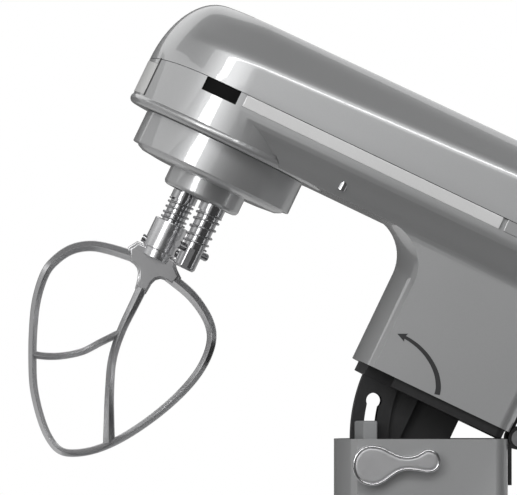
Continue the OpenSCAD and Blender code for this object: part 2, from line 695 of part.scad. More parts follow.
module planet_carrier() in_head() at_hub() color("silver") difference() {
  union() {
    rotate_extrude() polygon([[0, carrier_z + 2], [carrier_r - 5, carrier_z + 2], [carrier_r - 5, carrier_z],
      [carrier_r - 2.5, carrier_z], [carrier_r - 0.8, carrier_z + 0.8], [carrier_r, carrier_z + 2.5],
      [carrier_r, carrier_top], [0, carrier_top]]);
    for (s = [0, 180]) rotate(front_a - 90 + s) translate([post_at, 0, carrier_z + 4])
      cylinder(r = post_r, h = cage_z - carrier_z - 2);
    translate([0, 0, cage_z]) cylinder(r = cage_r, h = cage_t);
    translate([0, 0, cage_z]) cylinder(r = main_r, h = shaft_top - cage_z);
  }
  for (a = [front_a, rear_a_pos]) rotate(a) translate([spindle_offset, 0, 0]) {
    cylinder(r = spindle_r + run, h = carrier_top + 1);
    translate([0, 0, carrier_top]) cylinder(r = journal_r + run, h = cage_z + cage_t - carrier_top + 1);
  }
}
module main_gear() in_head() at_hub() color("gray") translate([0, 0, main_z]) difference() {
  union() {
    linear_extrude(main_h) gear_outline(main_teeth, spur_m, 1, 1.25, backlash);
  }
  translate([0, 0, -1]) cylinder(r = main_r, h = main_h + 2);
  for (k = [0 : 5]) rotate(60 * k) translate([26, 0, -1]) cylinder(r = 7, h = main_h + 2);
}
bridge_z = 111;
bridge_t = 4;
bridge_posts_at = [[-reach - 40, 40], [-reach - 40, -40], [-reach + 36, 46], [-reach + 36, -46]];
module gearbox_bridge() in_head() color("gainsboro") difference() {
  translate([0, 0, bridge_z]) linear_extrude(bridge_t) hull() {
    for (p = bridge_posts_at) translate(p) circle(r = 7, $fn = 32);
    translate([lay_x, 0]) circle(r = 14, $fn = 32);
  }
  at_hub() cylinder(r = main_r + 6, h = 200);
  translate([lay_x, 0, 0]) cylinder(r = lay_r + run, h = 200);
  for (p = bridge_posts_at) translate([p[0], p[1], 0]) cylinder(r = 2.5, h = 200);
}
module bridge_posts() in_head() color("dimgray") for (p = bridge_posts_at) translate([p[0], p[1], 0]) {
  translate([0, 0, gear_floor]) cylinder(r = 5, h = bridge_z - gear_floor);
  translate([0, 0, bridge_z]) cylinder(r = 2.5, h = bridge_t);
  translate([0, 0, bridge_z + bridge_t]) cylinder(r = 4.5, h = 2.5);
}
module top_bearing() in_head() at_hub() translate([0, 0, bridge_z]) color("gray")
  tube(main_r + 6, main_r + run, bridge_t + 1);

// ---------- layshaft and belt ----------
lay_r = 5;
lay_end = 134;
gear_floor = lip_z + wall + 0.6;
belt_z = 119;
belt_w = 10;
belt_t = 1.6;
flange = 1.4;
module at_lay() translate([lay_x, 0, 0]) children();
module layshaft_bush() in_head() at_lay() translate([0, 0, gear_floor]) color("peru")
  tube(lay_r + 2, lay_r + run, 5);
module layshaft() in_head() at_lay() color("gray") translate([0, 0, gear_floor + 0.2])
  cylinder(r = lay_r, h = lay_end - gear_floor - 0.2);
module pinion() in_head() at_lay() color("gray") translate([0, 0, main_z - 0.5]) difference() {
  linear_extrude(main_h + 1) rotate(180 / pinion_teeth) gear_outline(pinion_teeth, spur_m, 1, 1.25, backlash);
  translate([0, 0, -1]) cylinder(r = lay_r, h = 20);
}
module pulley(r, bore) difference() {
  union() {
    cylinder(r = r, h = belt_w + 2 * flange);
    cylinder(r = r + 2.5, h = flange);
    translate([0, 0, belt_w + flange]) cylinder(r = r + 2.5, h = flange);
  }
  translate([0, 0, -1]) cylinder(r = bore, h = 30);
}
module large_pulley() in_head() at_lay() translate([0, 0, belt_z - flange]) color("gray") difference() {
  pulley(pulley_r, lay_r);
  for (k = [0 : 4]) rotate(72 * k) translate([pulley_r * 0.58, 0, -1]) cylinder(r = pulley_r * 0.2, h = 40);
}
belt_play = 0.15;
module belt_loop(extra) hull() {
  translate([lay_x, 0]) circle(r = pulley_r + belt_play + extra, $fn = 96);
  translate([-motor_back, 0]) circle(r = motor_pulley_r + belt_play + extra, $fn = 48);
}
module drive_belt() in_head() color("black") translate([0, 0, belt_z + 0.2]) linear_extrude(belt_w - 0.4)
  difference() {
    belt_loop(belt_t);
    belt_loop(0);
  }

// ---------- motor ----------
rotor_r = 4;
stator_z = 28;
stator_h = 42;
lower_z = 8;
upper_z = 92;
bracket_t = 4;
module motor_stator() in_head() at_motor() translate([0, 0, stator_z]) color("gray")
  tube(stator_r, armature_r + 0.6, stator_h);
module motor_windings() in_head() at_motor() color("peru") {
  translate([0, 0, stator_z - 5]) tube(stator_r - 4, armature_r + 2.5, 5);
  translate([0, 0, stator_z + stator_h]) tube(stator_r - 4, armature_r + 2.5, 5);
}
module bracket_plan() intersection() {
  column_plan(wall + gap, front_set);
  translate([-motor_back, 0]) square([92, 2 * column_half], center = true);
}
module motor_bracket(z) difference() {
  translate([0, 0, z]) linear_extrude(bracket_t) bracket_plan();
  at_motor() cylinder(r = rotor_r + run, h = 200);
  for (a = [45 : 90 : 315]) at_motor() rotate(a) translate([20, 0, 0]) cylinder(r = 6, h = 200);
}
module upper_bracket() in_head() color("gainsboro") {
  motor_bracket(upper_z);
  for (a = [45 : 90 : 315]) at_motor() rotate(a) translate([stator_r - 2, 0, stator_z + stator_h])
    cylinder(r = 1.9, h = upper_z - stator_z - stator_h);
}
module lower_bracket() in_head() color("gainsboro") difference() {
  union() {
    motor_bracket(lower_z);
    for (a = [45 : 90 : 315]) at_motor() rotate(a) translate([stator_r - 2, 0, lower_z + 1])
      cylinder(r = 1.9, h = stator_z - lower_z - 1);
  }
  block_room(0);
}
brush_z = 79;
module carbon_brushes() in_head() at_motor() color("dimgray") for (s = [-1, 1])
  translate([-4, s > 0 ? comm_r + run : -comm_r - run - 14, brush_z]) {
    cube([8, 14, 8]);
    translate([1, s > 0 ? 6 : 4, 8]) cube([6, 4, upper_z - brush_z - 8]);
  }
comm_r = 11;
slots = 12;
module rotor_shaft() in_head() at_motor() color("silver") translate([0, 0, lower_z])
  cylinder(r = rotor_r, h = lay_end - lower_z);
module motor_rotor() in_head() at_motor() color("peru") difference() {
  union() {
    translate([0, 0, stator_z]) cylinder(r = armature_r, h = stator_h);
    translate([0, 0, stator_z + stator_h]) cylinder(r = comm_r, h = brush_z + 9 - stator_z - stator_h);
  }
  cylinder(r = rotor_r, h = 200);
  for (k = [0 : slots - 1]) rotate(360 / slots * k) translate([armature_r - 1, 0, stator_z - 1])
    cylinder(r = 1.8, h = stator_h + 2);
}
module motor_pulley() in_head() at_motor() translate([0, 0, belt_z - flange]) color("gray")
  pulley(motor_pulley_r, rotor_r);
blades = 12;
module fan() in_head() at_motor() translate([0, 0, lower_z + bracket_t + 1]) color("ivory") difference() {
  union() {
    cylinder(r = stator_r - 8, h = 1.6);
    cylinder(r = 8, h = 9);
    for (k = [0 : blades - 1]) rotate(360 / blades * k) translate([10, -0.8, 1])
      cube([stator_r - 20, 1.6, 7]);
  }
  translate([0, 0, -1]) cylinder(r = rotor_r, h = 20);
}

// ---------- spindles, springs and beater ----------
tool_z = 5.5;
front_pin_z = 12.4;
rear_pin_z = 18.2;
pin_half = 13.4;
collar_top = 29;
collar_low = 9;
sleeve_low = 3.2;
module at_spindle(a) at_hub() rotate(a) translate([spindle_offset, 0, 0]) rotate(-a) children();
module spindle(pin_z, pin_a, gear_a) {
  difference() {
    union() {
      translate([0, 0, tool_z]) cylinder(r1 = spindle_r - 1, r2 = spindle_r, h = 1.5);
      translate([0, 0, tool_z + 1.5]) cylinder(r = spindle_r, h = carrier_top - tool_z - 0.9);
      translate([0, 0, carrier_z - 5.5]) cylinder(r = spindle_r + 1.4, h = 5.2);
      cylinder_journal();
    }
    translate([-1.9, -spindle_r - 1, tool_z - 1]) cube([3.8, 3, 15]);
  }
  rotate(pin_a) for (s = [-1, 1]) translate([s * (spindle_r - 1), 0, pin_z]) rotate([0, s * 90, 0])
    cylinder(r = cross_r, h = pin_half - spindle_r + 1);
  translate([0, 0, ring_z + 0.4]) linear_extrude(ring_h - 1) rotate(gear_a)
    gear_outline(planet_teeth, planet_m, 0.9, 1.2, backlash);
}
module cylinder_journal() translate([0, 0, carrier_top])
  cylinder(r = journal_r, h = cage_z + cage_t - carrier_top);
module front_spindle() in_head() at_spindle(front_a) color("gainsboro") spindle(front_pin_z, 0, front_a);
module rear_spindle() in_head() at_spindle(rear_a_pos) color("gainsboro") spindle(rear_pin_z, 42, rear_a_pos);

// Sweeps a closed section along a list of points; each ring is a list of points in space
module sweep(rings, closed = false) {
  n = len(rings);
  m = len(rings[0]);
  sides = [for (k = [0 : closed ? n - 1 : n - 2], j = [0 : m - 1])
    [k * m + j, k * m + (j + 1) % m, ((k + 1) % n) * m + (j + 1) % m, ((k + 1) % n) * m + j]];
  ends = closed ? [] : [[for (j = [m - 1 : -1 : 0]) j], [for (j = [0 : m - 1]) (n - 1) * m + j]];
  polyhedron([for (r = rings) each r], concat(sides, ends), convexity = 8);
}
wire_r = 0.7;
coil_r = spindle_r + wire_r + 0.3;
turn_steps = 14;
// A coil of wire from z0 to z1 whose ends lie flat
module coil(z0, z1, turns, r) sweep([for (k = [0 : turns * turn_steps]) let (t = k / (turns * turn_steps),
    a = 360 * turns * t, z = z0 + (z1 - z0) * ease(ease(t) * 0.4 + t * 0.6))
  [for (j = [0 : 4]) let (q = r + wire_r * cos(72 * j)) [q * cos(a), q * sin(a), z - wire_r * sin(72 * j)]]]);
spring_top = carrier_z - 5.5 - wire_r - 0.1;
module spindle_springs() in_head() color("gainsboro") {
  at_spindle(front_a) coil(collar_top + wire_r + 0.1, spring_top, 4, coil_r);
  at_spindle(rear_a_pos) coil(rear_pin_z + cross_r + wire_r + 0.1, spring_top, 4, coil_r);
}

// Centre line of the beater's rim, from the left of the hub round to its right
rim_points = [[-10, -1], [-28.9, -3.6], [-41.9, -7.5], [-52.3, -15.6], [-58.8, -28], [-60.1, -39],
  [-57.5, -55], [-51.7, -71.5], [-43.9, -89], [-34.8, -106], [-23, -121], [-12, -131], [-1.6, -135.5],
  [8.8, -132.3], [21, -123], [33, -108], [44, -89], [52.3, -70], [57, -53.3], [58, -39], [55.6, -27.3], [49.7, -18.9],
  [40, -12], [28.3, -6.8], [10, -2.5]];
stem_points = [[0.7, -4], [0.7, -26], [0.7, -48.8], [3.6, -68.3], [10.7, -87], [18, -103], [25, -117.5]];
branch_points = [[0.3, -50], [-8, -60.5], [-15.9, -70.9], [-25.7, -78.7], [-35.4, -83.9], [-46, -87.5]];
// A point of the smooth curve through points a, b, c and d, a share t of the way from b to c
function smooth(a, b, c, d, t) = 0.5 * (2 * b + (c - a) * t + (2 * a - 5 * b + 4 * c - d) * t * t
  + (3 * b - a - 3 * c + d) * t * t * t);
function pick(p, k) = p[max(0, min(len(p) - 1, k))];
function curve(p, steps) = [for (k = [0 : len(p) - 2], s = [0 : steps - 1 + (k == len(p) - 2 ? 1 : 0)])
  smooth(pick(p, k - 1), p[k], p[k + 1], pick(p, k + 2), s / steps)];
function side_of(p, k) = let (d = pick(p, k + 1) - pick(p, k - 1)) [d[1], -d[0]] / norm(d);
// Rings of a ridged bar along curve p, w wide at its ends and w_mid at its middle
function bar_rings(p, w, w_mid, t) = [for (k = [0 : len(p) - 1]) let (n = side_of(p, k),
    h = (w + (w_mid - w) * sin(180 * k / (len(p) - 1))) / 2)
  [for (q = [[-1, 0.16], [0, 0.5], [1, 0.16], [1, -0.16], [0, -0.5], [-1, -0.16]])
    [p[k][0] + n[0] * q[0] * h, q[1] * t, p[k][1] + n[1] * q[0] * h]]];
slot_a = 66;
module bayonet_slot() translate([0, 0, front_pin_z - cross_r - 0.2]) intersection() {
  linear_extrude(2 * cross_r + 0.4) polygon([[0, cross_r + 0.2], [30, cross_r + 0.2], [30, -8],
    [30 * cos(slot_a), -30 * sin(slot_a)], [-cross_r, -cross_r]]);
  cylinder(r = spindle_r + collar_wall + 1, h = 20);
}
module beater() in_head() at_spindle(front_a) color("gainsboro") {
  difference() {
    union() {
      translate([0, 0, collar_low]) cylinder(r = spindle_r + collar_wall, h = collar_top - collar_low);
      translate([0, 0, sleeve_low]) cylinder(r = spindle_r + 2.4, h = collar_low - sleeve_low);
      translate([-14.6, -4.5, -5.2]) cube([31, 9, 14.3]);
    }
    translate([0, 0, tool_z - 0.2]) cylinder(r = spindle_r + 0.1, h = 40);
    for (s = [0, 180]) rotate(s) bayonet_slot();
  }
  sweep(bar_rings(curve(rim_points, 2), rim_w, rim_w - 2.6, rim_t));
  sweep(bar_rings(curve(stem_points, 3), rim_w + 0.4, rim_w - 2, rim_t));
  sweep(bar_rings(curve(branch_points, 2), rim_w - 2.6, rim_w - 3, rim_t - 2));
}

// ---------- the part ----------
base_casting();
base_plate();
rubber_feet();
base_screws();
bowl_seat_ring();
hinge_bracket();
hinge_pin();
latch_block();
lever_bush();
cord_gland();
control_board();
speed_switch();
dial_scale();
speed_dial();
dial_cap();
lift_lever();
lever_rim();
lever_shaft();
lock_pin();
head_cover();
head_housing();
front_cover();
side_bands();
rear_band();
name_plate();
cover_catch();
side_peg();
column_plate();
plate_screws();
hinge_barrel();
swing_arm();
cable_duct();
hub_drum();
hub_disc();
ring_gear();
carrier_bearing();
gearbox_bridge();
bridge_posts();
top_bearing();
layshaft_bush();
drive_belt();
motor_stator();
motor_windings();
upper_bracket();
lower_bracket();
carbon_brushes();
motor_rotor();
rotor_shaft();
motor_pulley();
fan();
layshaft();
pinion();
large_pulley();
planet_carrier();
main_gear();
front_spindle();
rear_spindle();
spindle_springs();
beater();
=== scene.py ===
"""Looks of the stand mixer: fine meshes, finishes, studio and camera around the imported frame."""

import json
import logging
import math
from dataclasses import dataclass
from enum import Enum
from typing import Sequence

import bmesh
import bpy
from mathutils import Matrix, Quaternion, Vector


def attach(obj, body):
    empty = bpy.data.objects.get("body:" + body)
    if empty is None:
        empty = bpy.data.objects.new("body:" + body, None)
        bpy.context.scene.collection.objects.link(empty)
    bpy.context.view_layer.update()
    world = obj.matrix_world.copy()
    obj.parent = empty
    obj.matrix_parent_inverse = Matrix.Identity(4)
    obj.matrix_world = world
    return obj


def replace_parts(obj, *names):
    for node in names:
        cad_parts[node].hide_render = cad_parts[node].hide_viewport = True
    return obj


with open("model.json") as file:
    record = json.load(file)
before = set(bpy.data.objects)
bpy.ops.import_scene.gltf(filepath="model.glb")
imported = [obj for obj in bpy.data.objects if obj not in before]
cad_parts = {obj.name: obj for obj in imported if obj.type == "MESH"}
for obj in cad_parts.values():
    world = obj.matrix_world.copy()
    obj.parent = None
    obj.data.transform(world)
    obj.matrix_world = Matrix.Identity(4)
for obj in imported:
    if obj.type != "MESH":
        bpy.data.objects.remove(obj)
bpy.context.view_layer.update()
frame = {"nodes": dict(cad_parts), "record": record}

LOG = logging.getLogger("stand_mixer")
MM = 0.001
Point = tuple[float, float]
Place = tuple[float, float, float]
Colour = tuple[float, float, float]

# The sizes of the solids that the finer pieces follow, in millimetres.
HINGE_BACK = 147.0
HINGE_HEIGHT = 172.0
LIFT = math.radians(25.6)
REACH = 252.5
NOSE_R = 68.6
SEAM_Z = 122.5
COLUMN_HALF = 57.0
COLUMN_REAR = 8.0
HEAD_REAR = NOSE_R - COLUMN_HALF - COLUMN_REAR

HINGE = Matrix.Translation(Vector((HINGE_BACK, 0.0, HINGE_HEIGHT)))
HEAD = HINGE @ Matrix.Rotation(LIFT, 4, "Y")


# ---------------------------------------------------------------- shader maths
class Value:
    """A socket's output that takes part in Python expressions."""

    def __init__(self, tree: "Tree", socket: bpy.types.NodeSocket) -> None:
        """Wraps a socket.

        Args:
            tree: the tree that new maths nodes go into.
            socket: the output socket that holds the value.
        """
        self.tree = tree
        self.socket = socket

    def _maths(self, operation: str, *inputs: "Value | float") -> "Value":
        """Adds one Math node and returns its result."""
        return self.tree.node("ShaderNodeMath", {"operation": operation}, dict(enumerate(inputs)))

    def __add__(self, other: "Value | float") -> "Value":
        """Adds."""
        return self._maths("ADD", self, other)

    __radd__ = __add__

    def __mul__(self, other: "Value | float") -> "Value":
        """Multiplies."""
        return self._maths("MULTIPLY", self, other)

    __rmul__ = __mul__

    def __sub__(self, other: "Value | float") -> "Value":
        """Subtracts."""
        return self._maths("SUBTRACT", self, other)

    def __rsub__(self, other: float) -> "Value":
        """Subtracts from a number."""
        return self._maths("SUBTRACT", other, self)

    def smaller(self, other: "Value | float") -> "Value":
        """Gives the smaller of the two."""
        return self._maths("MINIMUM", self, other)

    def larger(self, other: "Value | float") -> "Value":
        """Gives the larger of the two."""
        return self._maths("MAXIMUM", self, other)


class Tree:
    """Makes the nodes of one material or world."""

    def __init__(self, owner: "bpy.types.Material | bpy.types.World") -> None:
        """Clears the owner's nodes.

        Args:
            owner: the material or world that gets the nodes.
        """
        owner.use_nodes = True
        self.nodes = owner.node_tree.nodes
        self.links = owner.node_tree.links
        self.nodes.clear()

    def node(self, kind: str, settings: dict | None = None, inputs: dict | None = None,
             output: "int | str" = 0) -> Value:
        """Adds any node.

        Args:
            kind: the node's type.
            settings: the node's properties, set before its sockets.
            inputs: a value or a link for each named or numbered socket.
            output: the socket to return.

        Returns:
            The chosen output, wrapped.
        """
        made = self.nodes.new(kind)
        for name, setting in (settings or {}).items():
            setattr(made, name, setting)
        for name, value in (inputs or {}).items():
            if isinstance(value, Value):
                self.links.new(value.socket, made.inputs[name])
            else:
                made.inputs[name].default_value = value
        return Value(self, made.outputs[output]) if len(made.outputs) else Value(self, None)

    def place(self) -> Value:
        """Gives the piece's own coordinates in metres."""
        return self.node("ShaderNodeTexCoord", output="Object")

    def axis(self, name: str) -> Value:
        """Gives one of the piece's coordinates in metres."""
        return self.node("ShaderNodeSeparateXYZ", inputs={0: self.place()}, output=name)

    def noise(self, scale: float, detail: float = 2.0, where: Value | None = None) -> Value:
        """Gives a noise from 0 to 1.

        Args:
            scale: its scale, per metre.
            detail: how many finer layers it has.
            where: the coordinates, where they aren't the piece's own.

        Returns:
            The noise.
        """
        inputs = {"Vector": where or self.place(), "Scale": scale, "Detail": detail}
        return self.node("ShaderNodeTexNoise", {}, inputs)

    def spread(self, source: Value, low: float, high: float) -> Value:
        """Maps 0 to 1 onto low to high."""
        return source * (high - low) + low

    def blend(self, share: Value, first: Sequence[float], second: Sequence[float]) -> Value:
        """Mixes two colours.

        Args:
            share: 0 for the first colour and 1 for the second.
            first: the first colour.
            second: the second colour.

        Returns:
            The mixed colour.
        """
        colours = {0: share, 6: (*first, 1.0), 7: (*second, 1.0)}
        return self.node("ShaderNodeMix", {"data_type": "RGBA"}, colours, 2)

    def bump(self, height: Value, strength: float, distance: float) -> Value:
        """Turns a height into a normal."""
        return self.node("ShaderNodeBump", {}, {"Height": height, "Strength": strength, "Distance": distance})

    def surface(self, inputs: dict) -> None:
        """Adds the main shader and the material's output."""
        shader = self.node("ShaderNodeBsdfPrincipled", {}, inputs)
        self.node("ShaderNodeOutputMaterial", {}, {"Surface": shader})


@dataclass(frozen=True)
class Finish:
    """A finish with a fine mottle in its colour and its gloss.

    Attributes:
        name: the material's name.
        colour: the base colour.
        metallic: how metallic it is.
        rough: the lowest and highest roughness.
        shade: how far the colour darkens in the mottle.
        grain: scale of the mottle, per metre.
        bump: height of the surface grain in metres.
        specular: how strongly a bare surface mirrors, 0.5 for most plastics.
        finer: how many times finer the surface grain is than the mottle.
    """

    name: str
    colour: Colour
    metallic: float
    rough: Point
    shade: float = 0.05
    grain: float = 60.0
    bump: float = 0.0
    specular: float = 0.5
    finer: float = 30.0

    def build(self) -> bpy.types.Material:
        """Makes the material.

        Returns:
            The new material.
        """
        made = bpy.data.materials.new(self.name)
        tree = Tree(made)
        mottle = tree.noise(self.grain, 3.0)
        dark = tuple(c * (1 - self.shade) for c in self.colour)
        inputs = {
            "Base Color": tree.blend(mottle, dark, self.colour),
            "Metallic": self.metallic,
            "Roughness": tree.spread(mottle, *self.rough),
            "Specular IOR Level": self.specular,
        }
        if self.bump:
            fine = tree.noise(self.grain * self.finer, 2.0)
            inputs["Normal"] = tree.bump(fine, 0.5, self.bump)
        tree.surface(inputs)
        return made


@dataclass(frozen=True)
class MetallicPaint:
    """Paint with metal flakes under a clear coat, with a faint peel.

    Attributes:
        name: the material's name.
        colour: the colour of the lightest flakes.
        rough: the roughness under the coat.
        metal: how metallic the flakes are.
        uneven: how far the roughness falls and rises in the clouds.
        darkest: brightness of the darkest flakes, as a share.
        flakes: number of flakes, per metre.
        cloud: scale of the soft clouds in it, per metre.
        peel: scale of the peel, per metre.
        peel_height: height of the peel in metres.
        coat_rough: roughness of the coat.
        coat_index: refractive index of the coat.
    """

    name: str
    colour: Colour
    rough: float = 0.42
    metal: float = 0.8
    uneven: Point = (0.02, 0.03)
    darkest: float = 0.93
    flakes: float = 2600.0
    cloud: float = 14.0
    peel: float = 420.0
    peel_height: float = 0.00004
    coat_rough: float = 0.02
    coat_index: float = 1.9

    def build(self) -> bpy.types.Material:
        """Makes the paint.

        Returns:
            The new material.
        """
        made = bpy.data.materials.new(self.name)
        tree = Tree(made)
        inputs = {"Vector": tree.place(), "Scale": self.flakes}
        flakes = tree.node("ShaderNodeTexVoronoi", {}, inputs, "Color")
        flake = tree.node("ShaderNodeSeparateColor", {}, {0: flakes})
        cloud = tree.noise(self.cloud, 2.0)
        dark = tuple(c * self.darkest for c in self.colour)
        peel = tree.noise(self.peel, 1.0)
        tree.surface({
            "Base Color": tree.blend(flake * 0.5 + cloud * 0.5, dark, self.colour),
            "Metallic": self.metal,
            "Roughness": tree.spread(cloud, self.rough - self.uneven[0], self.rough + self.uneven[1]),
            "Coat Weight": 1.0,
            "Coat Roughness": self.coat_rough,
            "Coat IOR": self.coat_index,
            "Normal": tree.bump(peel, 0.12, self.peel_height),
        })
        return made


@dataclass(frozen=True)
class GroundMetal:
    """Bare metal with fine lines round the head's upright axis.

    Attributes:
        name: the material's name.
        colour: the lightest colour.
        rough: the lowest and highest roughness.
        darkest: brightness of the darkest clouds, as a share.
        lines: number of lines, per metre.
        stretch: how far the lines are drawn out across the axis, as a share.
        cloud: scale of the clouds, per metre.
        line_height: height of the lines in metres.
    """

    name: str
    colour: Colour
    rough: Point
    darkest: float = 0.9
    lines: float = 900.0
    stretch: float = 0.03
    cloud: float = 50.0
    line_height: float = 0.00003

    def build(self) -> bpy.types.Material:
        """Makes the metal.

        Returns:
            The new material.
        """
        made = bpy.data.materials.new(self.name)
        tree = Tree(made)
        turned = tree.node("ShaderNodeMapping", {}, {
            "Vector": tree.place(),
            "Rotation": (0.0, -LIFT, 0.0),
            "Scale": (self.stretch, self.stretch, 1.0),
        })
        lines = tree.noise(self.lines, 2.0, turned)
        cloud = tree.noise(self.cloud, 2.0)
        dark = tuple(c * self.darkest for c in self.colour)
        tree.surface({
            "Base Color": tree.blend(cloud, dark, self.colour),
            "Metallic": 1.0,
            "Roughness": tree.spread(lines * 0.6 + cloud * 0.4, *self.rough),
            "Normal": tree.bump(lines, 0.2, self.line_height),
        })
        return made


class Finishes:
    """All the materials, each made once."""

    def __init__(self) -> None:
        """Makes every finish by name."""
        self.made = {f.name: f.build() for f in (
            MetallicPaint("silver_paint", (0.575, 0.58, 0.585)),
            MetallicPaint("band_silver", (0.97, 0.97, 0.97), 0.30, 0.35),
            Finish("polished_alloy", (0.74, 0.74, 0.75), 1.0, (0.20, 0.30), 0.03, 60.0, 0.00001),
            Finish("chrome", (0.80, 0.80, 0.81), 1.0, (0.04, 0.08), 0.02, 120.0),
            GroundMetal("spindle_steel", (0.52, 0.52, 0.53), (0.12, 0.22)),
            GroundMetal("steel", (0.55, 0.55, 0.56), (0.25, 0.4)),
            Finish("dark_steel", (0.16, 0.16, 0.165), 0.8, (0.35, 0.5), 0.15, 300.0, 0.00002),
            Finish("black_plastic", (0.018, 0.018, 0.019), 0.0, (0.38, 0.5), 0.2, 260.0, 0.00002),
            Finish("grey_plastic", (0.30, 0.305, 0.31), 0.0, (0.4, 0.5), 0.08, 260.0, 0.00002),
            Finish("white_plastic", (0.82, 0.82, 0.81), 0.0, (0.25, 0.35), 0.03, 160.0),
            Finish("rubber", (0.02, 0.02, 0.02), 0.0, (0.6, 0.75), 0.2, 300.0, 0.00003),
            # Near-black with almost no sheen: the catch's own black plus painted shade of the slot it sits
            # in.
            Finish("catch_black_painted_shade", (0.003, 0.003, 0.003), 0.0, (0.50, 0.60), 0.1, 300.0, 0.00001, 0.1),
            Finish("lever_satin", (0.74, 0.74, 0.75), 0.9, (0.33, 0.42), 0.05, 200.0, 0.00001),
            Finish("copper", (0.55, 0.24, 0.12), 0.9, (0.3, 0.45), 0.3, 700.0, 0.00005),
            Finish("bronze", (0.45, 0.30, 0.12), 0.9, (0.35, 0.5), 0.2, 400.0, 0.00002),
            Finish("board", (0.02, 0.12, 0.05), 0.0, (0.3, 0.45), 0.3, 150.0),
            Finish("carbon", (0.03, 0.03, 0.03), 0.0, (0.6, 0.8), 0.3, 500.0, 0.00003),
            Finish("ink", (0.035, 0.035, 0.037), 0.0, (0.35, 0.45), 0.1, 100.0),
        )}

    def dress(self, piece: bpy.types.Object, name: str) -> None:
        """Gives a piece one material.

        Args:
            piece: the object.
            name: the finish.
        """
        piece.data.materials.clear()
        piece.data.materials.append(self.made[name])


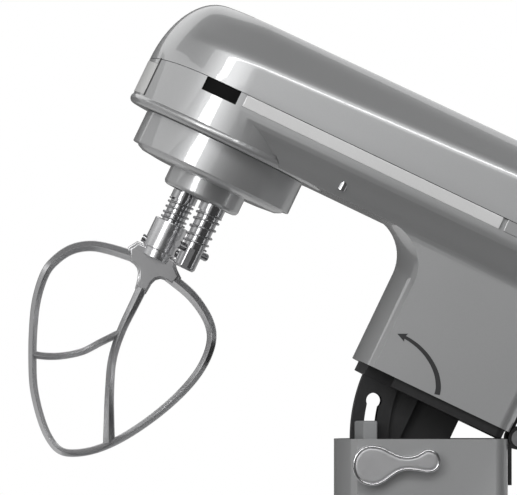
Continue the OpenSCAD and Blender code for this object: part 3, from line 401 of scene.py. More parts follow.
# ---------------------------------------------------------------- mesh making
class Sculpt:
    """One mesh under construction, drawn in millimetres in a frame of its own.

    Attributes:
        joined: points closer than this are merged.
        weight: how much the larger faces lead the shading.
    """

    joined: float = 0.0005
    weight: int = 70

    def __init__(self, name: str, where: Matrix) -> None:
        """Starts an empty mesh.

        Args:
            name: the name of the piece.
            where: the place of the frame that its points are drawn in.
        """
        self.name = name
        self.where = where
        self.mesh = bmesh.new()

    def ring(self, points: Sequence[Sequence[float]]) -> list[bmesh.types.BMEdge]:
        """Adds a closed outline of edges.

        Args:
            points: the outline's points in order.

        Returns:
            Its edges.
        """
        made = [self.mesh.verts.new(Vector(p)) for p in points]
        return [self.mesh.edges.new((a, made[(k + 1) % len(made)])) for k, a in enumerate(made)]

    def loft(self, rings: Sequence[Sequence[Sequence[float]]], closed: bool = False) -> None:
        """Joins outlines one after another.

        Args:
            rings: outlines with the same number of points.
            closed: whether the last outline joins the first, or both are filled.
        """
        loops = [self.ring(points) for points in rings]
        pairs = list(zip(loops, loops[1:])) + ([(loops[-1], loops[0])] if closed else [])
        for first, second in pairs:
            bmesh.ops.bridge_loops(self.mesh, edges=first + second)
        if not closed:
            for loop in (loops[0], loops[-1]):
                bmesh.ops.contextual_create(self.mesh, geom=loop)

    def lathe(self, profile: Sequence[Point], steps: int) -> None:
        """Turns a closed profile round the upright axis.

        Args:
            profile: the profile's points, each a radius and a height.
            steps: the number of facets in the turn.
        """
        edges = self.ring([(radius, 0.0, height) for radius, height in profile])
        geometry = [edge.verts[0] for edge in edges] + edges
        bmesh.ops.spin(self.mesh, geom=geometry, cent=(0.0, 0.0, 0.0), axis=(0.0, 0.0, 1.0), angle=math.tau,
                       steps=steps, use_merge=True)
        bmesh.ops.remove_doubles(self.mesh, verts=self.mesh.verts, dist=self.joined)

    def plate(self, outline: Sequence[Point], low: float, high: float, edge: float = 0.0) -> None:
        """Raises an outline into an upright plate with rounded edges, drawn in X and Z.

        Args:
            outline: the outline.
            low: the plate's side at the smaller Y.
            high: its other side.
            edge: the radius of its edges.
        """
        face = self.mesh.faces.new([self.mesh.verts.new((x, low, z)) for x, z in outline])
        made = bmesh.ops.extrude_face_region(self.mesh, geom=[face])["geom"]
        top = [v for v in made if isinstance(v, bmesh.types.BMVert)]
        bmesh.ops.translate(self.mesh, verts=top, vec=(0.0, high - low, 0.0))
        if edge:
            ends = {face} | {f for f in top[0].link_faces if all(v in top for v in f.verts)}
            rims = list({e for f in ends for e in f.edges})
            bmesh.ops.bevel(self.mesh, geom=rims, offset=edge, segments=3, profile=0.5, affect="EDGES",
                            material=-1)

    def holed_plate(self, outline: Sequence[Point], holes: Sequence[Sequence[Point]], low: float,
                    high: float) -> None:
        """Raises an outline with holes into an upright plate, drawn in X and Z.

        Args:
            outline: the outline.
            holes: the outlines of its holes.
            low: the plate's side at the smaller Y.
            high: its other side.
        """
        edges = [e for loop in (outline, *holes) for e in self.ring([(x, low, z) for x, z in loop])]
        made = bmesh.ops.triangle_fill(self.mesh, edges=edges, use_beauty=True, use_dissolve=True,
                                       normal=(0.0, -1.0, 0.0))["geom"]
        faces = [f for f in made if isinstance(f, bmesh.types.BMFace)]
        grown = bmesh.ops.extrude_face_region(self.mesh, geom=faces, use_keep_orig=True)["geom"]
        bmesh.ops.translate(self.mesh, verts=[v for v in grown if isinstance(v, bmesh.types.BMVert)],
                            vec=(0.0, high - low, 0.0))

    def finish(self, finish: str, body: str, smooth: float | None) -> bpy.types.Object:
        """Turns the mesh into a piece of the object.

        Args:
            finish: the material.
            body: the body it rides on.
            smooth: edges sharper than this many degrees stay sharp, or None for flat.

        Returns:
            The new object.
        """
        bmesh.ops.remove_doubles(self.mesh, verts=self.mesh.verts, dist=self.joined)
        bmesh.ops.recalc_face_normals(self.mesh, faces=self.mesh.faces)
        for vert in self.mesh.verts:
            vert.co = (self.where @ vert.co) * MM
        if smooth is not None:
            for face in self.mesh.faces:
                face.smooth = True
            limit = math.radians(smooth)
            for edge in self.mesh.edges:
                edge.smooth = len(edge.link_faces) == 2 and edge.calc_face_angle(0.0) < limit
        data = bpy.data.meshes.new(self.name)
        self.mesh.to_mesh(data)
        self.mesh.free()
        piece = bpy.data.objects.new(self.name, data)
        bpy.context.scene.collection.objects.link(piece)
        if smooth is not None:
            weigh = piece.modifiers.new("weigh", "WEIGHTED_NORMAL")
            weigh.weight = self.weight
            weigh.keep_sharp = True
        FINISHES.dress(piece, finish)
        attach(piece, body)
        LOG.info("%s: %d faces, rides on %s", self.name, len(data.polygons), body)
        return piece


FINISHES = Finishes()


# ---------------------------------------------------------------- forms of the head
def ease(share: float) -> float:
    """Turns a share from 0 to 1 into one that starts and ends gently."""
    return (1.0 - math.cos(math.pi * held(share))) / 2.0


def between(low: float, high: float, share: float) -> float:
    """Gives the number a share of the way from low to high."""
    return low + (high - low) * share


def held(share: float) -> float:
    """Keeps a share from 0 to 1."""
    return min(1.0, max(0.0, share))


def toward(start: Point, end: Point, share: float) -> Point:
    """Gives the point a share of the way from start to end."""
    return between(start[0], end[0], share), between(start[1], end[1], share)


@dataclass
class HeadCover:
    """The lid of the head, with a soft dome at the nose and a crease along each side.

    Attributes:
        dome: depth of the shoulder at the nose.
        rear: radius of the rear corners.
        rise: how much higher the rear is.
        wall: thickness of the moulding.
        top: height of the crown at the nose.
        dip: how far the seam drops at the tip of the nose.
        dip_run: length of that drop.
        gap: gap between the lid and the housing.
        foot: height of the straight edge above the seam.
        crease: height of the crease at the start and at the end of its climb.
        climb: where that climb starts, and its length.
        lean: how far the side leans inwards below the crease.
        shoulder: where the upper bend lies: share of the depth, and drop below the crown.
        bends: shares of the section's middle line where the crease ends and the upper bend starts.
        lead: share of the side below the crease that stays straight.
        stops: shares of the section where the side, the crease and the slope above it end.
        flank: how far a direction turns to the side where the crease starts, and over how much more it grows.
        facets: number of facets of the nose, of a side and of a rear corner.
        rings: number of facets of the outer and of the inner section.
    """

    dome: float = 31.9
    rear: float = 26.0
    rise: float = 1.6
    wall: float = 3.0
    top: float = 171.0
    dip: float = 4.9
    dip_run: float = 41.5
    gap: float = 0.35
    foot: float = 1.0
    crease: Point = (144.5, 153.0)
    climb: Point = (-260.0, 190.0)
    lean: float = 1.6
    shoulder: Point = (0.66, 4.6)
    bends: Point = (0.20, 0.62)
    lead: float = 0.80
    stops: tuple[float, float, float] = (0.24, 0.52, 0.66)
    flank: Point = (0.35, 0.6)
    facets: tuple[int, int, int] = (64, 13, 12)
    rings: tuple[int, int] = (40, 12)

    def plan(self) -> list[tuple[Vector, Vector, float]]:
        """Walks round the outline.

        Returns:
            Each point, its outward direction and the share of the creased side in its section.
        """
        nose, straight, bend = self.facets
        made: list[tuple[Vector, Vector, float]] = []
        for k in range(nose + 1):
            angle = math.pi / 2 + math.pi * k / nose
            way = Vector((math.cos(angle), math.sin(angle)))
            side = ease((abs(way.y) - self.flank[0]) / self.flank[1])
            made.append((Vector((-REACH, 0.0)) + way * NOSE_R, way, side))
        corner = Vector((HEAD_REAR - self.rear, -(NOSE_R - self.rear)))
        for k in range(1, straight):
            place = Vector((between(-REACH, corner.x, k / straight), -NOSE_R))
            made.append((place, Vector((0.0, -1.0)), 1.0))
        for k in range(bend + 1):
            angle = -math.pi / 2 + math.pi / 2 * k / bend
            way = Vector((math.cos(angle), math.sin(angle)))
            made.append((corner + way * self.rear, way, 1.0))
        made += [(Vector((p.x, -p.y)), Vector((w.x, -w.y)), s) for p, w, s in reversed(made[nose + 1:])]
        return made

    def seam(self, x: float) -> float:
        """Gives the height of the seam.

        Args:
            x: place along the head.

        Returns:
            The height.
        """
        start = -REACH - NOSE_R + self.dip_run
        share = held((start - x) / self.dip_run)
        return SEAM_Z + self.gap - self.dip * (1.0 - math.sqrt(1.0 - share * share))

    def section(self, side: float, x: float, share: float, inner: float) -> Point:
        """Gives one point of the section.

        Args:
            side: 0 for the nose's dome, 1 for the creased side.
            x: place along the head.
            share: 0 at the seam and 1 at the top.
            inner: distance inside the outer face.

        Returns:
            The distance inwards and the height.
        """
        along = (x + REACH) / (REACH + HEAD_REAR)
        deep = between(self.dome, self.rear, held(along)) - inner * 0.5
        top = self.top + self.rise * along - inner
        low = self.seam(x)
        start = low if share < 0.5 / self.rings[0] else low + self.foot
        angle = share * math.pi / 2
        dome = (deep * (1.0 - math.cos(angle)), between(start, top, math.sin(angle)))
        bend = between(*self.crease, held((x - self.climb[0]) / self.climb[1])) - inner * 0.4
        upper = (deep * self.shoulder[0], top - self.shoulder[1])
        creased = self.rounded((0.0, start), (self.lean, bend), upper, (deep, top), share)
        return between(dome[0], creased[0], side) + inner, between(dome[1], creased[1], side)

    def rounded(self, start: Point, crease: Point, upper: Point, end: Point, share: float) -> Point:
        """Follows a bent line whose two corners are rounded.

        Args:
            start: the line's start.
            crease: its lower corner.
            upper: its upper corner.
            end: its end.
            share: how far along, from 0 to 1.

        Returns:
            The point there.
        """
        before = toward(start, crease, self.lead)
        after, turn = (toward(crease, upper, bend) for bend in self.bends)
        first, second, third = self.stops
        if share <= first:
            return toward(start, before, share / first)
        if share <= second:
            return self.bow(before, crease, after, (share - first) / (second - first))
        if share <= third:
            return toward(after, turn, (share - second) / (third - second))
        return self.bow(turn, upper, end, (share - third) / (1.0 - third))

    @staticmethod
    def bow(a: Point, b: Point, c: Point, share: float) -> Point:
        """Gives a point of the curve from a to c that bends towards b.

        Args:
            a: the curve's start.
            b: the point it bends towards.
            c: its end.
            share: how far along, from 0 to 1.

        Returns:
            The point there.
        """
        parts = ((1.0 - share) ** 2, 2 * (1.0 - share) * share, share ** 2)
        x, z = (sum(part * point[k] for part, point in zip(parts, (a, b, c))) for k in (0, 1))
        return x, z

    def ring(self, share: float, inner: float) -> list[Vector]:
        """Gives the outline at one height.

        Args:
            share: 0 at the seam and 1 at the top.
            inner: distance inside the outer face.

        Returns:
            The outline's points.
        """
        made = []
        for point, way, side in self.plan():
            inset, height = self.section(side, point.x, share, inner)
            place = point - way * inset
            made.append(Vector((place.x, place.y, height)))
        return made

    def build(self) -> None:
        """Makes the lid, from its top down outside and back up inside."""
        sculpt = Sculpt("cover", HEAD)
        out, back = self.rings
        outer = [self.ring(1.0 - k / out, 0.0) for k in range(out + 1)]
        inner = [self.ring(k / back, self.wall) for k in range(back + 1)]
        sculpt.loft(outer + inner)
        piece = sculpt.finish("silver_paint", "head", 40.0)
        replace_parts(piece, "head_cover")


# ---------------------------------------------------------------- mixing drive
class Tool(Enum):
    """The two tool spindles, by their body."""

    FRONT = "front_tool"
    REAR = "rear_tool"


@dataclass
class Drive:
    """The places of the tool spindles and the springs around them.

    Attributes:
        offset: distance of a spindle from the mixing axis.
        turned: how far the front spindle is turned round that axis, in degrees.
        spindle_r: radius of a spindle.
        wire_r: radius of the spring wire.
        play: gap between a spring and its spindle.
        turns: number of turns of the front and of the rear spring.
        spring_top: height of both springs' upper ends.
        spring_low: height of their lower ends.
        even: share of the rise that is the same all along, where the rest flattens the ends.
        facets: facets of a turn and of the wire.
    """

    offset: float = 14.0
    turned: float = 135.0
    spindle_r: float = 7.15
    wire_r: float = 0.7
    play: float = 0.35
    turns: Point = (4.6, 5.0)
    spring_top: float = 44.2
    spring_low: Point = (29.9, 21.7)
    even: float = 0.55
    facets: tuple[int, int] = (40, 10)

    def axis_at(self, tool: Tool) -> Point:
        """Gives the place of a spindle's axis in the head's plan.

        Args:
            tool: the spindle.

        Returns:
            Its place along and across the head.
        """
        angle = math.radians(self.turned if tool is Tool.FRONT else self.turned - 180.0)
        return -REACH + self.offset * math.cos(angle), self.offset * math.sin(angle)

    def coil(self, low: float, centre: Point, turns: float, sculpt: Sculpt) -> None:
        """Winds one spring with flattened ends.

        Args:
            low: the height of its lower end.
            centre: the spindle's axis.
            turns: the number of turns.
            sculpt: the mesh it goes into.
        """
        radius = self.spindle_r + self.wire_r + self.play
        round_turn, round_wire = self.facets
        steps = int(turns * round_turn)
        rings = []
        for k in range(steps + 1):
            share = k / steps
            angle = math.tau * turns * share
            height = between(low, self.spring_top, self.even * share + (1.0 - self.even) * ease(share))
            way = Vector((math.cos(angle), math.sin(angle), 0.0))
            middle = Vector((centre[0], centre[1], height)) + way * radius
            rings.append([middle + (way * math.cos(a) + Vector((0, 0, 1)) * math.sin(a)) * self.wire_r
                          for a in (math.tau * j / round_wire for j in range(round_wire))])
        sculpt.loft(rings)

    def build(self) -> None:
        """Makes both springs."""
        sculpt = Sculpt("springs", HEAD)
        for low, tool, turns in zip(self.spring_low, Tool, self.turns):
            self.coil(low, self.axis_at(tool), turns, sculpt)
        piece = sculpt.finish("spindle_steel", "carrier", 60.0)
        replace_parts(piece, "spindle_springs")


# ---------------------------------------------------------------- beater
def curve(points: Sequence[Sequence[float]], steps: int) -> list[Vector]:
    """Runs a smooth curve through points.

    Args:
        points: the points.
        steps: the number of pieces between two of them.

    Returns:
        The curve's points.
    """
    knots = [Vector(p) for p in points]
    made = []
    for k in range(len(knots) - 1):
        a, b, c, d = (knots[max(0, min(len(knots) - 1, k + j))] for j in (-1, 0, 1, 2))
        for t in (step / steps for step in range(steps)):
            made.append(0.5 * (2 * b + (c - a) * t + (2 * a - 5 * b + 4 * c - d) * t * t
                               + (3 * b - a - 3 * c + d) * t ** 3))
    return made + [knots[-1]]


def sideways(path: Sequence[Vector], k: int) -> Vector:
    """Gives the direction across a path, to its right.

    Args:
        path: the path's points.
        k: the number of the point.

    Returns:
        The direction, of length 1.
    """
    way = path[min(k + 1, len(path) - 1)] - path[max(k - 1, 0)]
    return Vector((way.y, -way.x)).normalized()


@dataclass(frozen=True)
class Bar:
    """One bar of the beater.

    Attributes:
        line: its centre line.
        ends: width at its ends.
        middle: width at its middle.
        thick: thickness across the beater's plane.
    """

    line: tuple[Point, ...]
    ends: float
    middle: float
    thick: float


RIM = Bar((
    (-10, -1), (-28.9, -3.6), (-41.9, -7.5), (-52.3, -15.6), (-58.8, -28), (-60.1, -39), (-57.5, -55),
    (-51.7, -71.5), (-43.9, -89), (-34.8, -106), (-23, -121), (-12, -131), (-1.6, -135.5), (8.8, -132.3),
    (21, -123), (33, -108), (44, -89), (52.3, -70), (57, -53.3), (58, -39), (55.6, -27.3), (49.7, -18.9),
    (40, -12), (28.3, -6.8), (10, -2.5)), 7.6, 5.0, 9.0)
STEM = Bar((
    (0.7, -4), (0.7, -26), (0.7, -48.8), (3.6, -68.3), (10.7, -87), (18, -103), (25, -117.5)), 8.0, 5.6, 9.0)
BRANCH = Bar((
    (0.3, -50), (-8, -60.5), (-15.9, -70.9), (-25.7, -78.7), (-35.4, -83.9), (-46, -87.5)), 5.0, 4.6, 7.0)


@dataclass
class Beater:
    """The K-shaped beater: a ridged rim, a stem and a branch on a bored hub.

    Attributes:
        bars: the rim, the stem and the branch.
        quarter: a quarter of a bar's section, as shares of half its width and of its thickness.
        web: outline of the web under the collar, flared into the bars.
        steps: how far each of the web's two steps is set in, and how far it is below the bars' ridge.
        taper: lengths over which a step is set in along and down, and its shift sideways.
        web_edge: radius of the web's edges.
        bore: radius of the collar's bore.
        collar: radius of the collar.
        sleeve: radius of the sleeve below the collar.
        levels: heights of the sleeve's end and of the collar's two ends.
        facets: facets round the hub.
    """

    bars: tuple[Bar, ...] = (RIM, STEM, BRANCH)
    quarter: tuple[Point, ...] = ((0.0, 0.5), (0.12, 0.475), (0.90, 0.20), (1.0, 0.10))
    web: tuple[Point, ...] = (
        (-15.2, 8.8), (-16.6, 6.4), (-19.0, 2.6), (-15.0, -5.2), (-10.6, -5.8), (-7.6, -7.4), (-5.8, -9.8),
        (-4.4, -14.0), (-3.2, -20.0), (4.6, -20.0), (5.2, -12.4), (6.4, -9.2), (9.0, -7.0), (13.0, -6.4),
        (18.6, -7.4), (21.0, -0.6), (16.4, 3.0), (14.6, 5.0), (13.2, 8.8))
    steps: tuple[Point, ...] = ((1.5, 0.0), (0.0, 2.0))
    taper: tuple[float, float, float] = (16.0, 14.0, 0.06)
    web_edge: float = 1.0
    bore: float = 7.25
    collar: float = 11.35
    sleeve: float = 9.55
    levels: tuple[float, float, float] = (3.2, 9.0, 29.0)
    facets: int = 72

    def bar(self, sculpt: Sculpt, bar: Bar) -> None:
        """Sweeps a ridged section with softened edges along a bar's line.

        Args:
            sculpt: the mesh it goes into.
            bar: the bar.
        """
        path = curve(bar.line, 6)
        upper = [(-u, v) for u, v in self.quarter[:0:-1]] + list(self.quarter)
        section = upper + [(u, -v) for u, v in reversed(upper)]
        rings = []
        for k, point in enumerate(path):
            side = sideways(path, k)
            half = between(bar.ends, bar.middle, math.sin(math.pi * k / (len(path) - 1))) / 2
            rings.append([(point.x + side.x * u * half, v * bar.thick, point.y + side.y * u * half)
                          for u, v in section])
        sculpt.loft(rings)

    def hub(self, sculpt: Sculpt) -> None:
        """Makes the bored collar, its sleeve and the web that carries the bars.

        Args:
            sculpt: the mesh it goes into.
        """
        bore, collar, sleeve = self.bore, self.collar, self.sleeve
        end, low, high = self.levels
        sculpt.lathe(((bore, low), (collar - 0.7, low), (collar - 0.2, low + 0.2), (collar, low + 0.7),
                      (collar, high - 0.8), (collar - 0.25, high - 0.2), (collar - 0.8, high), (bore, high)),
                     self.facets)
        sculpt.lathe(((bore, end), (sleeve - 0.4, end), (sleeve, end + 0.4), (sleeve, low), (bore, low)),
                     self.facets)
        along, down, shift = self.taper
        for inset, below in self.steps:
            half = RIM.thick / 2 - below
            narrow, short = 1.0 - inset / along, 1.0 - inset / down
            outline = [(x * narrow + shift * inset, z * short) for x, z in self.web]
            sculpt.plate(outline, -half, half, self.web_edge)

    def build(self) -> None:
        """Makes the bars and the hub."""
        x, y = Drive().axis_at(Tool.FRONT)
        sculpt = Sculpt("k_beater", HEAD @ Matrix.Translation(Vector((x, y, 0.0))))
        for bar in self.bars:
            self.bar(sculpt, bar)
        self.hub(sculpt)
        piece = sculpt.finish("polished_alloy", Tool.FRONT.value, 24.0)
        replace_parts(piece, "beater")


# ---------------------------------------------------------------- marks and frame under the column
@dataclass
class Marks:
    """Small flat marks on the painted casing.

    Attributes:
        arrow: the arrow's centre line on the column's side, about the hinge.
        widths: its width at the tail and at the head's root.
        tip: the arrow's tip.
        barb: where its barbs lie, behind the root and to its sides.
        ink: how far the marks stand out.
        sunk: how far the arrow and the joint reach into the casing.
        joint: the angles of the joint beside the name plate, from the rear, in degrees.
        joint_z: the heights of its ends.
    """

    arrow: tuple[Point, ...] = (
        (-60.4, 2.2), (-61.8, 7.0), (-65.6, 13.0), (-70.6, 17.8), (-77.0, 21.9), (-84.0, 24.7), (-90.5, 26.1),
        (-94.6, 26.5))
    widths: Point = (3.6, 2.0)
    tip: Point = (-100.2, 26.4)
    barb: Point = (0.6, 2.9)
    ink: float = 0.12
    sunk: Point = (0.4, 0.6)
    joint: Point = (206.6, 208.1)
    joint_z: Point = (95.0, SEAM_Z - 1.2)

    def lift_arrow(self) -> None:
        """Lays the lift arrow on the column's near side."""
        path = curve(self.arrow, 5)
        left, right = [], []
        for k, point in enumerate(path):
            half = sideways(path, k) * between(*self.widths, k / (len(path) - 1)) / 2
            left.append(point - half)
            right.append(point + half)
        behind, aside = self.barb
        head = [path[-1] + Vector((behind, -aside)), Vector(self.tip), path[-1] + Vector((behind, aside))]
        sculpt = Sculpt("lift_arrow", HEAD)
        sculpt.plate([tuple(p) for p in left + head + right[::-1]], -COLUMN_HALF - self.ink,
                     -COLUMN_HALF + self.sunk[0])
        sculpt.finish("ink", "head", None)

    def plate_gap(self) -> None:
        """Sets the dark joint at the name plate's near edge."""
        sculpt = Sculpt("plate_gap", HEAD)
        inner, outer = NOSE_R - self.sunk[1], NOSE_R + self.ink
        low, high = self.joint_z
        rings = []
        for k in range(4):
            angle = math.radians(between(*self.joint, k / 3))
            rings.append([(-REACH + radius * math.cos(angle), radius * math.sin(angle), z)
                          for radius, z in ((inner, low), (outer, low), (outer, high), (inner, high))])
        sculpt.loft(rings)
        sculpt.finish("ink", "head", None)

    def build(self) -> None:
        """Makes the marks."""
        self.lift_arrow()
        self.plate_gap()


@dataclass
class SwingFrame:
    """The dark arms that swing with the head, with the lock pin's keyholes and webs back to the duct.

    Attributes:
        inner: radius of the arms' inner edge about the hinge.
        outer: radius of their outer edge.
        reach: how far they turn below the forward direction, in degrees.
        bar: thickness of the bar between them.
        starts: the angles where the bar and the webs start.
        pin_path: radius of the lock pin's path.
        keyhole: the angles where the keyhole's eye and its neck's end lie.
        eye: radius of the eye.
        neck: half the neck's width.
        lead: angle between the eye's mouth and the first point of the neck.
        duct: the cable duct's front.
        top: the height of the arms' top.
        arm: the far arm's two sides.
        web: the far web's two sides.
        facets: facets of a long arc, of the eye, of the neck and of its round end.
    """

    inner: float = 84.2
    outer: float = 108.4
    reach: float = 43.0
    bar: float = 4.0
    starts: Point = (2.0, 2.2)
    pin_path: float = 96.7
    keyhole: Point = (11.0, 36.6)
    eye: float = 5.0
    neck: float = 3.9
    lead: float = 0.3
    duct: float = -69.4
    top: float = -3.0
    arm: Point = (32.1, 37.4)
    web: Point = (30.4, 33.4)
    facets: tuple[int, int, int, int] = (28, 24, 16, 12)

    @staticmethod
    def polar(radius: float, degrees: float) -> Vector:
        """Gives a point about the hinge.

        Args:
            radius: its distance.
            degrees: its angle below the forward direction.

        Returns:
            The point.
        """
        angle = math.radians(degrees)
        return Vector((-radius * math.cos(angle), -radius * math.sin(angle)))

    def arc(self, radius: float, start: float, stop: float, steps: int) -> list[Vector]:
        """Gives points on a circle about the hinge.

        Args:
            radius: its radius.
            start: the angle of its start.
            stop: the angle of its end.
            steps: the number of facets.

        Returns:
            The points.
        """
        return [self.polar(radius, between(start, stop, k / steps)) for k in range(steps + 1)]

    def outline(self) -> list[Vector]:
        """Gives an arm's outline, cut level at its top.

        Returns:
            The outline's points.
        """
        first, last = (math.degrees(math.asin(-self.top / radius)) for radius in (self.outer, self.inner))
        steps = self.facets[0]
        return self.arc(self.outer, first, self.reach, steps) + self.arc(self.inner, self.reach, last, steps)

    def slot(self) -> list[Vector]:
        """Gives the keyhole's outline: a round eye and a narrow curved neck.

        Returns:
            The outline's points.
        """
        eye_at, end_at = self.keyhole
        _, round_eye, along_neck, round_end = self.facets
        mouth = math.asin(self.neck / self.eye)
        eye = self.turn(eye_at, self.eye, [between(mouth, math.tau - mouth, k / round_eye)
                                           for k in range(round_eye + 1)])
        start = eye_at + math.degrees(self.eye * math.cos(mouth) / self.pin_path) + self.lead
        back = self.arc(self.pin_path - self.neck, start, end_at, along_neck)
        end = self.turn(end_at, self.neck, [math.pi * (k / round_end - 0.5) for k in range(1, round_end)])
        forth = self.arc(self.pin_path + self.neck, end_at, start, along_neck)
        return eye + back + end + forth

    def turn(self, degrees: float, radius: float, angles: Sequence[float]) -> list[Vector]:
        """Gives points round a spot of the pin's path.

        Args:
            degrees: the spot's angle about the hinge.
            radius: their distance from the spot.
            angles: their angles, from the way down the path.

        Returns:
            The points.
        """
        middle = self.polar(self.pin_path, degrees)
        down, out = self.polar(1.0, degrees + 90.0), middle.normalized()
        return [middle + (down * math.cos(a) + out * math.sin(a)) * radius for a in angles]

    def build(self) -> None:
        """Makes the two arms, the bar between them and the webs."""
        sculpt = Sculpt("swing_frame", HEAD)
        arm, slot, steps = self.outline(), self.slot(), self.facets[0]
        low = math.degrees(math.acos(-self.duct / self.inner))
        web = self.arc(self.inner, self.starts[1], low, steps // 2) + [Vector((self.duct, self.top))]
        for sign in (-1.0, 1.0):
            sculpt.holed_plate(arm, [slot], *sorted(sign * y for y in self.arm))
            sculpt.holed_plate(web, [], *sorted(sign * y for y in self.web))
        start = self.starts[0]
        bar = self.arc(self.outer, start, self.reach, steps)
        bar += self.arc(self.outer - self.bar, self.reach, start, steps)
        sculpt.holed_plate(bar, [], -self.arm[0], self.arm[0])
        piece = sculpt.finish("black_plastic", "head", 30.0)
        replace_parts(piece, "swing_arm")


@dataclass
class LiftLever:
    """The peanut-shaped lift lever: a satin face in a bright rolled rim.

    Attributes:
        centre: its axis about the hinge.
        points: the rim's outline about the axis.
        back: the lever's far side.
        face: the height of its face.
        rim: the rim's radius.
        bulge: how much the rim stands out, as a share of its radius.
        facets: facets round the rim's section and between two points of the outline.
    """

    centre: Point = (-94.9, -17.4)
    points: tuple[Point, ...] = (
        (0.0, 13.2), (6.2, 12.1), (11.6, 9.4), (17.1, 7.0), (22.5, 6.2), (28.0, 7.3), (31.0, 9.0),
        (34.9, 10.8), (39.2, 9.9), (42.3, 7.2), (43.6, 2.9), (42.3, -1.4), (39.0, -4.0), (34.2, -4.6),
        (28.7, -3.6), (22.5, -3.1), (17.1, -4.2), (12.4, -7.2), (7.8, -10.5), (3.1, -12.6), (-1.8, -12.9),
        (-7.4, -10.8), (-11.4, -6.2), (-13.0, 0.0), (-11.6, 6.2), (-7.8, 10.8), (-4.0, 12.7))
    back: float = -61.6
    face: float = -66.3
    rim: float = 1.1
    bulge: float = 1.15
    facets: tuple[int, int] = (12, 4)

    def ring(self, inset: float, depth: float) -> list[tuple[float, float, float]]:
        """Gives the smooth outline at one depth.

        Args:
            inset: how far it is moved inwards.
            depth: its place across the mixer.

        Returns:
            Its points about the hinge.
        """
        loop, steps = self.points, self.facets[1]
        made = []
        for k in range(len(loop)):
            path = curve([loop[(k + j) % len(loop)] for j in (-1, 0, 1, 2)], steps)
            made += path[steps:2 * steps]
        turned = []
        for k, point in enumerate(made):
            way = made[(k + 1) % len(made)] - made[k - 1]
            moved = point + Vector((way.y, -way.x)).normalized() * inset
            turned.append((self.centre[0] + moved.x, depth, self.centre[1] + moved.y))
        return turned

    def build(self) -> None:
        """Makes the face and the rim around it."""
        face = Sculpt("lever_face", HINGE)
        levels = (
            (1.2, self.back), (0.9, self.back - 0.3), (0.9, self.face + 0.5), (1.5, self.face),
            (3.5, self.face - 0.32))
        face.loft([self.ring(inset, y) for inset, y in levels])
        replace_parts(face.finish("lever_satin", "lever", 40.0), "lift_lever")
        rim = Sculpt("lever_bead", HINGE)
        rings = []
        for k in range(self.facets[0]):
            angle = math.tau * k / self.facets[0]
            out = self.rim * self.bulge * math.sin(angle)
            rings.append(self.ring(self.rim * (1.0 - math.cos(angle)), self.face + 0.1 + out))
        rim.loft(rings, closed=True)
        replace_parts(rim.finish("chrome", "lever", 60.0), "lever_rim")


# ---------------------------------------------------------------- studio
WHITE = (1.0, 1.0, 1.0, 1.0)


@dataclass(frozen=True)
class Lamp:
    """One large soft light that is aimed at the mixer.

    Attributes:
        name: its name.
        place: its middle, in metres.
        size: its width and height.
        power: its power in watts.
        mirrored: whether mirrors show it.
    """

    name: str
    place: Place
    size: Point
    power: float
    mirrored: bool = False


@dataclass(frozen=True)
class Card:
    """One card that only mirrors see.

    Attributes:
        name: its name.
        place: its middle, in metres.
        size: its width and height.
        shade: how bright it is.
        flat: whether it lies flat instead of facing the mixer.
        ramp: where it starts and stops to change from left to right, and the share left there.
    """

    name: str
    place: Place
    size: Point
    shade: float
    flat: bool = False
    ramp: Place | None = None


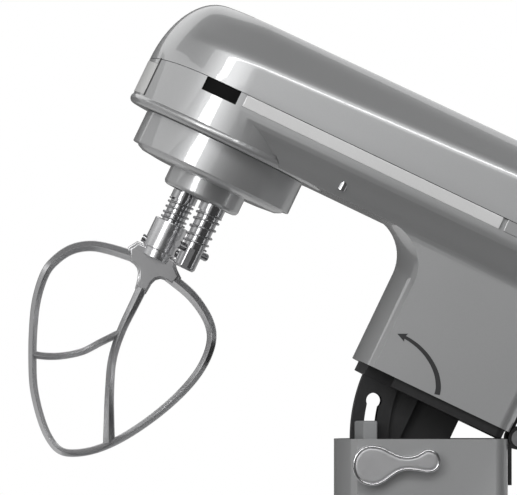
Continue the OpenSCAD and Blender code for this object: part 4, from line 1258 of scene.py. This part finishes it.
@dataclass
class Studio:
    """Camera, lights, floor and the cards that the metal mirrors.

    Attributes:
        eye: the camera's place.
        aim: what the camera, the lights and the cards face.
        lens: the camera's focal length in millimetres.
        sensor: the width of its sensor.
        soft: strength of the world as light.
        floor_shade: how pale the floor is.
        floor_half: half the floor's width.
        lamps: the lights.
        cards: the cards.
    """

    eye: Place = (-0.017, -4.557, 0.1997)
    aim: Place = (-0.0208, -0.057, 0.2943)
    lens: float = 489.52
    sensor: float = 36.0
    soft: float = 0.35
    floor_shade: float = 0.84
    floor_half: float = 2.1
    lamps: tuple[Lamp, ...] = (
        Lamp("key", (0.30, -2.6, 1.0), (2.6, 1.8), 14.0),
        Lamp("strip", (0.0, -2.3, 1.55), (3.2, 0.26), 13.0, mirrored=True),
        Lamp("top", (-0.1, 0.1, 2.4), (1.8, 1.8), 12.0),
    )
    cards: tuple[Card, ...] = (
        Card("softbox", (-1.25, -2.2, 0.80), (0.72, 0.66), 6.0),
        Card("front_card", (0.0, -3.3, 0.50), (8.0, 1.4), 0.5, ramp=(-0.22, -0.05, 0.14)),
        Card("upper_card", (0.0, -0.3, 1.9), (4.5, 2.4), 0.21, flat=True),
        Card("low_card", (0.1, -1.25, 0.012), (3.6, 2.2), 0.08, flat=True),
        Card("right_card", (1.9, -0.9, 1.0), (3.4, 2.6), 0.07),
        Card("back_right_card", (1.9, 0.7, 0.8), (2.2, 1.6), 0.25),
        Card("left_card", (-2.1, -0.9, 0.6), (2.2, 1.4), 0.36),
        Card("back_left_card", (-1.9, 0.7, 0.6), (1.6, 1.4), 0.40),
        Card("behind_card", (-0.4, 2.6, 0.5), (4.6, 1.8), 0.12),
    )

    def facing(self, place: Sequence[float]) -> Quaternion:
        """Gives the turn that aims something at the mixer.

        Args:
            place: where it stands.

        Returns:
            The turn.
        """
        return (Vector(self.aim) - Vector(place)).to_track_quat("-Z", "Y")

    def camera(self) -> None:
        """Sets the camera."""
        data = bpy.data.cameras.new("camera")
        data.lens = self.lens
        data.sensor_width = self.sensor
        made = bpy.data.objects.new("camera", data)
        bpy.context.scene.collection.objects.link(made)
        made.location = self.eye
        made.rotation_euler = self.facing(self.eye).to_euler()
        bpy.context.scene.camera = made

    def world(self) -> None:
        """Sets a world that is white for the camera and for mirrors, and softer as light."""
        made = bpy.data.worlds.new("studio")
        bpy.context.scene.world = made
        tree = Tree(made)
        rays = {name: tree.node("ShaderNodeLightPath", output=name)
                for name in ("Is Camera Ray", "Is Glossy Ray", "Is Transmission Ray")}
        seen = rays["Is Camera Ray"].larger(rays["Is Glossy Ray"]).larger(rays["Is Transmission Ray"])
        soft = tree.node("ShaderNodeBackground", {}, {"Color": WHITE, "Strength": self.soft})
        white = tree.node("ShaderNodeBackground", {}, {"Color": WHITE, "Strength": 1.0})
        both = tree.node("ShaderNodeMixShader", {}, {0: seen, 1: soft, 2: white})
        tree.node("ShaderNodeOutputWorld", {}, {"Surface": both})

    def light(self, lamp: Lamp) -> None:
        """Adds one light.

        Args:
            lamp: the light.
        """
        data = bpy.data.lights.new(lamp.name, "AREA")
        data.shape = "RECTANGLE"
        data.size, data.size_y = lamp.size
        data.energy = lamp.power
        made = bpy.data.objects.new(lamp.name, data)
        bpy.context.scene.collection.objects.link(made)
        made.location = lamp.place
        made.rotation_euler = self.facing(lamp.place).to_euler()
        made.visible_glossy = lamp.mirrored
        made.visible_camera = False

    def sheet(self, name: str, material: bpy.types.Material, size: Point, where: Matrix) -> bpy.types.Object:
        """Adds one flat piece of the studio.

        Args:
            name: its name.
            material: its material.
            size: its width and depth.
            where: its place and turn.

        Returns:
            The new object.
        """
        mesh = bmesh.new()
        bmesh.ops.create_grid(mesh, x_segments=1, y_segments=1, size=0.5)
        bmesh.ops.scale(mesh, verts=mesh.verts, vec=(*size, 1.0))
        bmesh.ops.transform(mesh, verts=mesh.verts, matrix=where)
        data = bpy.data.meshes.new(name)
        mesh.to_mesh(data)
        mesh.free()
        data.materials.append(material)
        piece = bpy.data.objects.new(name, data)
        bpy.context.scene.collection.objects.link(piece)
        return piece

    def card(self, card: Card) -> None:
        """Adds one card.

        Args:
            card: the card.
        """
        made = bpy.data.materials.new(card.name)
        tree = Tree(made)
        colour: Value | tuple = WHITE
        if card.ramp:
            start, stop, left = card.ramp
            share = ((tree.axis("X") - start) * (1.0 / (stop - start))).larger(0.0).smaller(1.0)
            colour = tree.blend(share, (1.0,) * 3, (left,) * 3)
        glow = tree.node("ShaderNodeEmission", {}, {"Color": colour, "Strength": card.shade})
        tree.node("ShaderNodeOutputMaterial", {}, {"Surface": glow})
        turn = Matrix.Identity(4) if card.flat else self.facing(card.place).to_matrix().to_4x4()
        piece = self.sheet(card.name, made, card.size, Matrix.Translation(Vector(card.place)) @ turn)
        piece.visible_camera = False
        piece.visible_diffuse = False
        piece.visible_shadow = False
        piece.visible_transmission = False

    def floor(self) -> None:
        """Adds a plain pale floor that catches the contact shadow."""
        made = bpy.data.materials.new("floor")
        shade = self.floor_shade
        Tree(made).surface({"Base Color": (shade, shade, shade, 1.0), "Roughness": 0.6})
        self.sheet("floor", made, (2.0 * self.floor_half,) * 2, Matrix.Identity(4))

    def build(self) -> None:
        """Sets the whole studio up."""
        bpy.context.scene.view_settings.view_transform = "Standard"
        self.camera()
        self.world()
        for lamp in self.lamps:
            self.light(lamp)
        for card in self.cards:
            self.card(card)
        self.floor()


# ---------------------------------------------------------------- the CAD's own pieces
# Finishes of the pieces that need a finer one than their slot's.
NODE_FINISH = {
    "front_spindle": "spindle_steel",
    "rear_spindle": "spindle_steel",
    "name_plate": "white_plastic",
    # The catch's finish also paints the shade inside its slot.
    "cover_catch": "catch_black_painted_shade",
}

# Widths of the rounded edges, in millimetres.
ROUNDED = {
    "head_housing": 0.8, "front_cover": 0.8, "hub_drum": 0.7, "hub_disc": 0.5, "planet_carrier": 0.5,
    "base_casting": 0.9, "latch_block": 1.2, "side_bands": 0.5, "rear_band": 0.5, "column_plate": 0.5,
    "cable_duct": 0.5, "speed_dial": 0.4, "side_peg": 0.3,
}
WELD = 0.01
CLAMP_LIMIT = 1.0
SHARP = math.radians(25.0)
BEVEL_FACETS = 3
FACE_WEIGHT = 60


def round_edges(node: bpy.types.Object, width: float) -> None:
    """Rounds a CAD piece's edges a little, with modifiers only.

    Args:
        node: the CAD piece.
        width: the width of the rounding in millimetres.
    """
    weld = node.modifiers.new("weld", "WELD")
    weld.merge_threshold = WELD * MM
    bevel = node.modifiers.new("bevel", "BEVEL")
    bevel.limit_method = "ANGLE"
    bevel.angle_limit = SHARP
    bevel.width = width * MM
    bevel.segments = BEVEL_FACETS
    bevel.use_clamp_overlap = width < CLAMP_LIMIT
    weigh = node.modifiers.new("weigh", "WEIGHTED_NORMAL")
    weigh.weight = FACE_WEIGHT
    weigh.keep_sharp = False


def dress_nodes() -> None:
    """Gives every CAD piece its material."""
    slots = {part["node"]: part["material_slot"] for part in frame["record"]["subparts"]}
    for name, node in frame["nodes"].items():
        finish = NODE_FINISH.get(name, slots[name])
        FINISHES.dress(node, finish)
        LOG.info("%s: dressed in %s", name, finish)
        if name in ROUNDED:
            round_edges(node, ROUNDED[name])


def main() -> None:
    """Builds the looks in order."""
    logging.basicConfig(level=logging.INFO, format="%(message)s")
    Studio().build()
    dress_nodes()
    HeadCover().build()
    Drive().build()
    Beater().build()
    Marks().build()
    SwingFrame().build()
    LiftLever().build()


if __name__ == "__main__":
    main()
